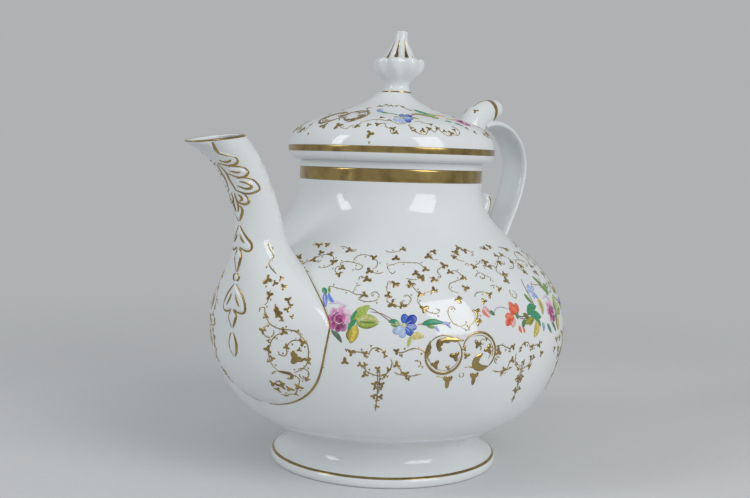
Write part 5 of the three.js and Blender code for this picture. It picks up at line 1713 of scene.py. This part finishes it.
LID_STEMS = [
    [(22, 11), (23.8, 14.2), (28, 16.4), (33, 17.6), (37, 16.2), (40, 17)],
    [(33.6, 12.6), (37.2, 13.6), (39, 10.4), (42.6, 9.8)],
    [(40, 17), (43, 14.4), (47, 13.2), (50.6, 14.6), (51.2, 17.4)],
    [(42.6, 9.8), (41, 8.2), (42.4, 6.8), (44.2, 7.6)], [(52.6, 10.6), (51.4, 12.6), (53.4, 13.2)],
    [(54.2, 9), (57, 7.2), (60.4, 7.4), (63, 10.6), (65.6, 8.4), (68.4, 11.4)],
    [(68.4, 11.4), (70.4, 8.2), (73.6, 6.8), (76, 8.2)],
    [(76, 8.2), (79.6, 7.2), (82.6, 9.2), (81.8, 12), (79.2, 12.6)],
    [(65.5, 14), (62, 14.8), (59.6, 16.6), (56, 16)],
    [(24, 38), (28, 37), (32, 40), (36, 37.6), (39, 39), (43, 37)],
    [(46, 38.6), (50, 39.6), (55, 37.6), (58, 34.6), (62, 33)],
    [(-19, 9.2), (-16.8, 7.8), (-15, 9.4), (-15.5, 12)],
    [(9.6, 11.6), (13, 9.6), (16.6, 9.2), (18.4, 11.2), (22, 11)]]
LID_SPRAY = [
    ([(26.4, 33.0), (28.6, 30.8), (31.8, 28.6)], 2.4, "blue", "sky"),
    ([(27.2, 34.4), (30, 32.6), (32.4, 30.2)], 1.6, "sky", "ice"),
    ([(31.4, 29.4), (34.6, 28), (38.6, 27)], 1.8, "green", "teal"),
    ([(38, 27.2), (42, 26.6), (46, 24.4)], -0.4, "green", "green"),
    ([(55, 20.4), (57.6, 20.6), (60.4, 19.6)], 1.9, "lime", "moss"),
    ([(56, 24), (62, 26.4), (69, 24.8), (78, 21.6)], -0.32, "russet", "russet"),
    ([(62, 28.4), (67, 27.4), (73, 27.6)], 2.8, "moss", "lime"),
    ([(66, 34), (71, 31), (77, 27.6)], 3.0, "green", "teal"),
    ([(70, 26.4), (75, 25.4), (81, 25.8)], 3.2, "lime", "green"),
    ([(75, 29.4), (79.4, 28.6), (85, 27.4)], 2.4, "lime", "straw"),
    ([(73, 22.2), (76, 22), (79.6, 23)], 2.0, "moss", "olive"),
    ([(83, 26.6), (86.6, 26.4), (91, 25)], 2.8, "sun", "coral"),
    ([(86, 22.6), (89.4, 21.6), (93.4, 20.4)], 2.0, "lime", "straw"),
    ([(80.4, 18.6), (82.6, 18.4), (85, 17.4)], 1.7, "sage", "teal"),
    ([(86.6, 16.8), (89, 15.4), (90.4, 13.4)], 1.7, "teal", "sage")]

TALL = 1.35
tall_map = SurfaceMap(lid_map.spot_of, lid_map.across_mm, TALL)
lid_gold, lid_paint = [], []


def garland(shift, low=-90.0, high=180.0):
    """The lid's leaves and stems that lie between two angles, moved round by shift."""
    for across, up, size in LID_LEAVES:
        if low < across < high:
            leaf_spot(lid_gold, lid_map, (across + shift, up), 1.1 * size, 0.12)
    for stem in LID_STEMS:
        if all(low < across < high for across, up in stem):
            moved = moved_round(stem, shift)
            stroke(lid_gold, lid_map, moved, IVY_STEM_WIDTH)
            beads(lid_gold, lid_map, moved, 2.2, 0.32)


def lid_ring(anchor, radius, start):
    """One gold ring of the lid: a thick line, a thin one inside it, a curling leaf and four small ones."""
    outside = arc((0, 0), radius, start, start + 310, 26)
    inside = arc((0, 0), radius - 1.3, start + 30, start + 200, 14)
    curl = arc((0.3, 0.3), radius - 1.6, start + 90, start - 50, 10)
    ring_line(lid_gold, tall_map, anchor, outside, 0.85, 0.6)
    ring_line(lid_gold, tall_map, anchor, inside, 0.4)
    blade(lid_gold, tall_map, anchor, curl, 2.4, 0.55, 0.4, 4, 0.18)
    for x, y, size in ((-3.0, -2.2, 1.6), (3.2, 0.6, 1.8), (0.2, -4.2, 1.4), (0.4, 3.4, 1.4)):
        patch(lid_gold, tall_map, anchor, ivy_leaf(size, x), 0.18, (x, y))


for repeat in range(2):
    turned_by = repeat * LID_REPEAT
    lid_ring((-6.0 + turned_by, 21.4), LID_RING_R, 110)
    lid_ring((11.8 + turned_by, 22.0), LID_RING_R, -80)
    garland(turned_by)
    for fill_turn in FILL_TURNS:
        garland(turned_by + fill_turn, FILL_FROM, FILL_TO)
    spray(lid_paint, lid_map, turned_by, LID_SPRAY)
    bell_flower(lid_paint, tall_map, (48.6 + turned_by, 20.4), 0.95)
    rose(lid_paint, lid_map, (99 + turned_by, 19.0), 0.82)
painted("lid_gilding", lid_gold, "lid_group", "gilding", gold)
painted("lid_flowers", lid_paint, "lid_group", "enamels", enamel)

# %% [markdown]
# ## Gilding on the knob and the handle
# Gold lies in the flutes of the spire, narrow at the top and wide at the foot, with a drop between each
# two. The cup's rim and the collar of its stem are gilt. The thumb tip has a gold ring, a fine line and
# two leaves, and the curl has gold edges.

# %% Knob and handle gilding
SKIN_LIFT = 0.06
ARM_LAST_ROW = 109
SCROLL_LAST_ROW = 59


def wrapped_map(grid, along):
    """A map of a piece with rings: degrees round from its first column, and millimetres along its rows."""
    rows, around = grid.shape[:2]
    closed = np.concatenate([grid, grid[:, :1]], axis=1)
    girth = np.linalg.norm(np.diff(closed, axis=1), axis=2).sum(axis=1) / 360

    def spot(across, up):
        return blended(closed, np.interp(up, along, np.arange(rows)), np.asarray(across) % 360 / 360 * around)

    return SurfaceMap(spot, lambda up: np.interp(up, along, girth))


def gilt_skin(name, grid, first, last):
    """A thin closed skin over some rings of a piece, a hair outside and a hair inside its surface."""
    part, normals = grid[first:last], normals_of(grid)[first:last]
    skin = np.vstack([part + SKIN_LIFT * normals, (part - SKIN_LIFT * normals)[::-1]])
    return seat_piece(loft(name, skin, joined=True), "lid_group", "gilding", gold)


spire_map = wrapped_map(spire_grid[2:-2], spire_outline[2:-2, 1] - SPIRE_Z)
flute_line = through([(0, 8.4), (0, 5.6), (0, 2.8), (0, 0.4)], 5)
flute_widths = np.interp(np.linspace(0, 1, len(flute_line)), [0, 0.5, 1], [0.2, 0.65, 1.45])
knob_gold = []
for flute in range(KNOB_LOBES):
    turn = np.degrees(SPIRE_PHASE) + (flute + 0.5) * 360 / KNOB_LOBES
    strip(knob_gold, spire_map, (turn, 0.0), flute_line, flute_widths, FLAT_SECTION, SKIN_LIFT)
    drop_at = (turn + 180 / KNOB_LOBES, 0.9)
    patch(knob_gold, spire_map, drop_at, lobed(0.45, 1, 0, 8), 0.08, shares=(1,))
gilt_skin("knob_rim_gilding", cup_grid, 57, 70)
gilt_skin("knob_foot_line", cup_grid, 3, 8)
painted("knob_gilding", knob_gold, "lid_group", "gilding", gold)

arm_along = lengths(arm_rings.mean(axis=1))
arm_map = wrapped_map(arm_rings, arm_along)
tip_along = arm_along[ARM_LAST_ROW]
tip_ring = np.column_stack([np.linspace(-21.0, 21.0, 50), 1.3 * np.cos(np.linspace(-pi, pi, 50))])
tip_line = through([(0, 0), (0.4, 4), (0, 8), (0.3, 11)], 6)
handle_gold = []
strip(handle_gold, arm_map, (180.0, tip_along - 5.0), tip_ring, 1.7, FLAT_SECTION, 0.1)
strip(handle_gold, arm_map, (180.0, tip_along - 14), tip_line, 0.3, FLAT_SECTION, 0.08)
for side in (-1, 1):
    patch(handle_gold, arm_map, (180.0, tip_along), ivy_leaf(1.8, 0.8), 0.1, (3.4 * side, -16.4))
scroll_along = lengths(scroll_rings.mean(axis=1))
scroll_map = wrapped_map(scroll_rings, scroll_along)
for face, side in ((90.0, -1), (270.0, 1)):
    curl_edge = through([(2 * side, 0), (1.6 * side, 4), (1.0 * side, 8), (-0.6 * side, 10.6)], 6)
    edge_from = (face, scroll_along[SCROLL_LAST_ROW] - 9)
    strip(handle_gold, scroll_map, edge_from, curl_edge, 0.8, FLAT_SECTION, 0.1)
painted("handle_gilding", handle_gold, "pot", "gilding", gold)

# %% [markdown]
# ## Floor
# The pot stands on a plain pale floor that fades into an equally pale backdrop, so that no horizon
# shows. The fade is in the floor's own material, which turns clear with the distance from the middle.

# %% Floor
FLOOR_REACH = 3.0
FLOOR_SIDES = 96
FLOOR_BELOW = 0.02
FLOOR_THICKNESS = 20
FADE_FROM, FADE_TO = 0.20, 0.72
PALE = (0.70, 0.705, 0.71)


def floor_material():
    """Matt paint that turns clear with the distance from the middle, so the backdrop takes over."""
    material, shader, add, places = new_material("pale_floor")
    grain = noise_of(add, places, 300.0, 4.0)
    far = add("ShaderNodeVectorMath", {"operation": "LENGTH"}, {0: places}).outputs["Value"]
    fade = add("ShaderNodeMapRange", {"interpolation_type": "SMOOTHSTEP"}, Value=far,
               From_Min=FADE_FROM, From_Max=FADE_TO, To_Min=1.0, To_Max=0.0)
    fill(shader, {
        "Base Color": ramp_of(add, grain, [(0.3, tuple(0.97 * c for c in PALE)), (0.7, PALE)]),
        "Roughness": 0.75,
        "Specular IOR Level": 0.25,
        "Alpha": fade.outputs["Result"],
    })
    return material


floor_turn = full_turn(FLOOR_SIDES)
floor_radius = np.array([0.01, 0.2, 0.6, 1.2, 2.0, FLOOR_REACH])[:, None] / MM
floor_rings = np.stack([
    floor_radius * np.cos(floor_turn),
    floor_radius * np.sin(floor_turn),
    np.zeros((len(floor_radius), FLOOR_SIDES)) - FLOOR_BELOW,
], axis=-1)
floor_under = floor_rings[::-1] - [0, 0, FLOOR_THICKNESS]
floor = loft("pale_floor", np.vstack([floor_rings, floor_under]))
floor.data.materials.append(floor_material())

# %% [markdown]
# ## Light
# The light is a studio's: an even room and two large soft boxes, whose shapes show as the rectangular
# shines on the glaze. The camera and the shines see a backdrop a little paler than the room's own light.

# %% Light


def soft_box(name, place, aim, size, power, colour=(1.0, 1.0, 1.0)):
    """A rectangular lamp in metres, turned so that it faces its aim."""
    lamp = bpy.data.lights.new(name, "AREA")
    lamp.shape = "RECTANGLE"
    lamp.size, lamp.size_y = size
    lamp.energy = power
    lamp.color = colour
    holder = bpy.data.objects.new(name, lamp)
    bpy.context.scene.collection.objects.link(holder)
    facing = (Vector(aim) - Vector(place)).to_track_quat("-Z", "Y")
    holder.matrix_world = Matrix.Translation(Vector(place)) @ facing.to_matrix().to_4x4()


def beside_camera(angle_from_camera, distance, height):
    """A place by its angle from the camera's own side, positive to the right as the camera sees it."""
    angle = VIEW_ROUND + radians(angle_from_camera)
    return (AXIS_X * MM + distance * sin(angle), -distance * cos(angle), height)


POT_MIDDLE = (AXIS_X * MM, 0.0, 0.09)
soft_box("key_box", beside_camera(44, 1.15, 0.72), POT_MIDDLE, (0.62, 0.95), 7.5)
soft_box("window_box", beside_camera(-62, 1.2, 0.75), POT_MIDDLE, (0.30, 0.80), 4.0, (0.94, 0.97, 1.0))

BACKDROP, ROOM = (0.43, 0.44, 0.45, 1.0), (0.42, 0.43, 0.44, 1.0)
world = bpy.data.worlds.new("pale_room")
world.use_nodes = True
add_to_world = adder(world.node_tree)
rays = add_to_world("ShaderNodeLightPath")
seen = rays.outputs["Is Camera Ray"]
for kind in ("Is Glossy Ray", "Is Transmission Ray"):
    adding = {"operation": "ADD", "use_clamp": True}
    seen = add_to_world("ShaderNodeMath", adding, {0: seen, 1: rays.outputs[kind]}).outputs[0]
room_colour = mix_of(add_to_world, seen, ROOM, BACKDROP)
fill(world.node_tree.nodes["Background"], {"Color": room_colour, "Strength": 1.0})
bpy.context.scene.world = world
bpy.context.scene.view_settings.view_transform = "Standard"
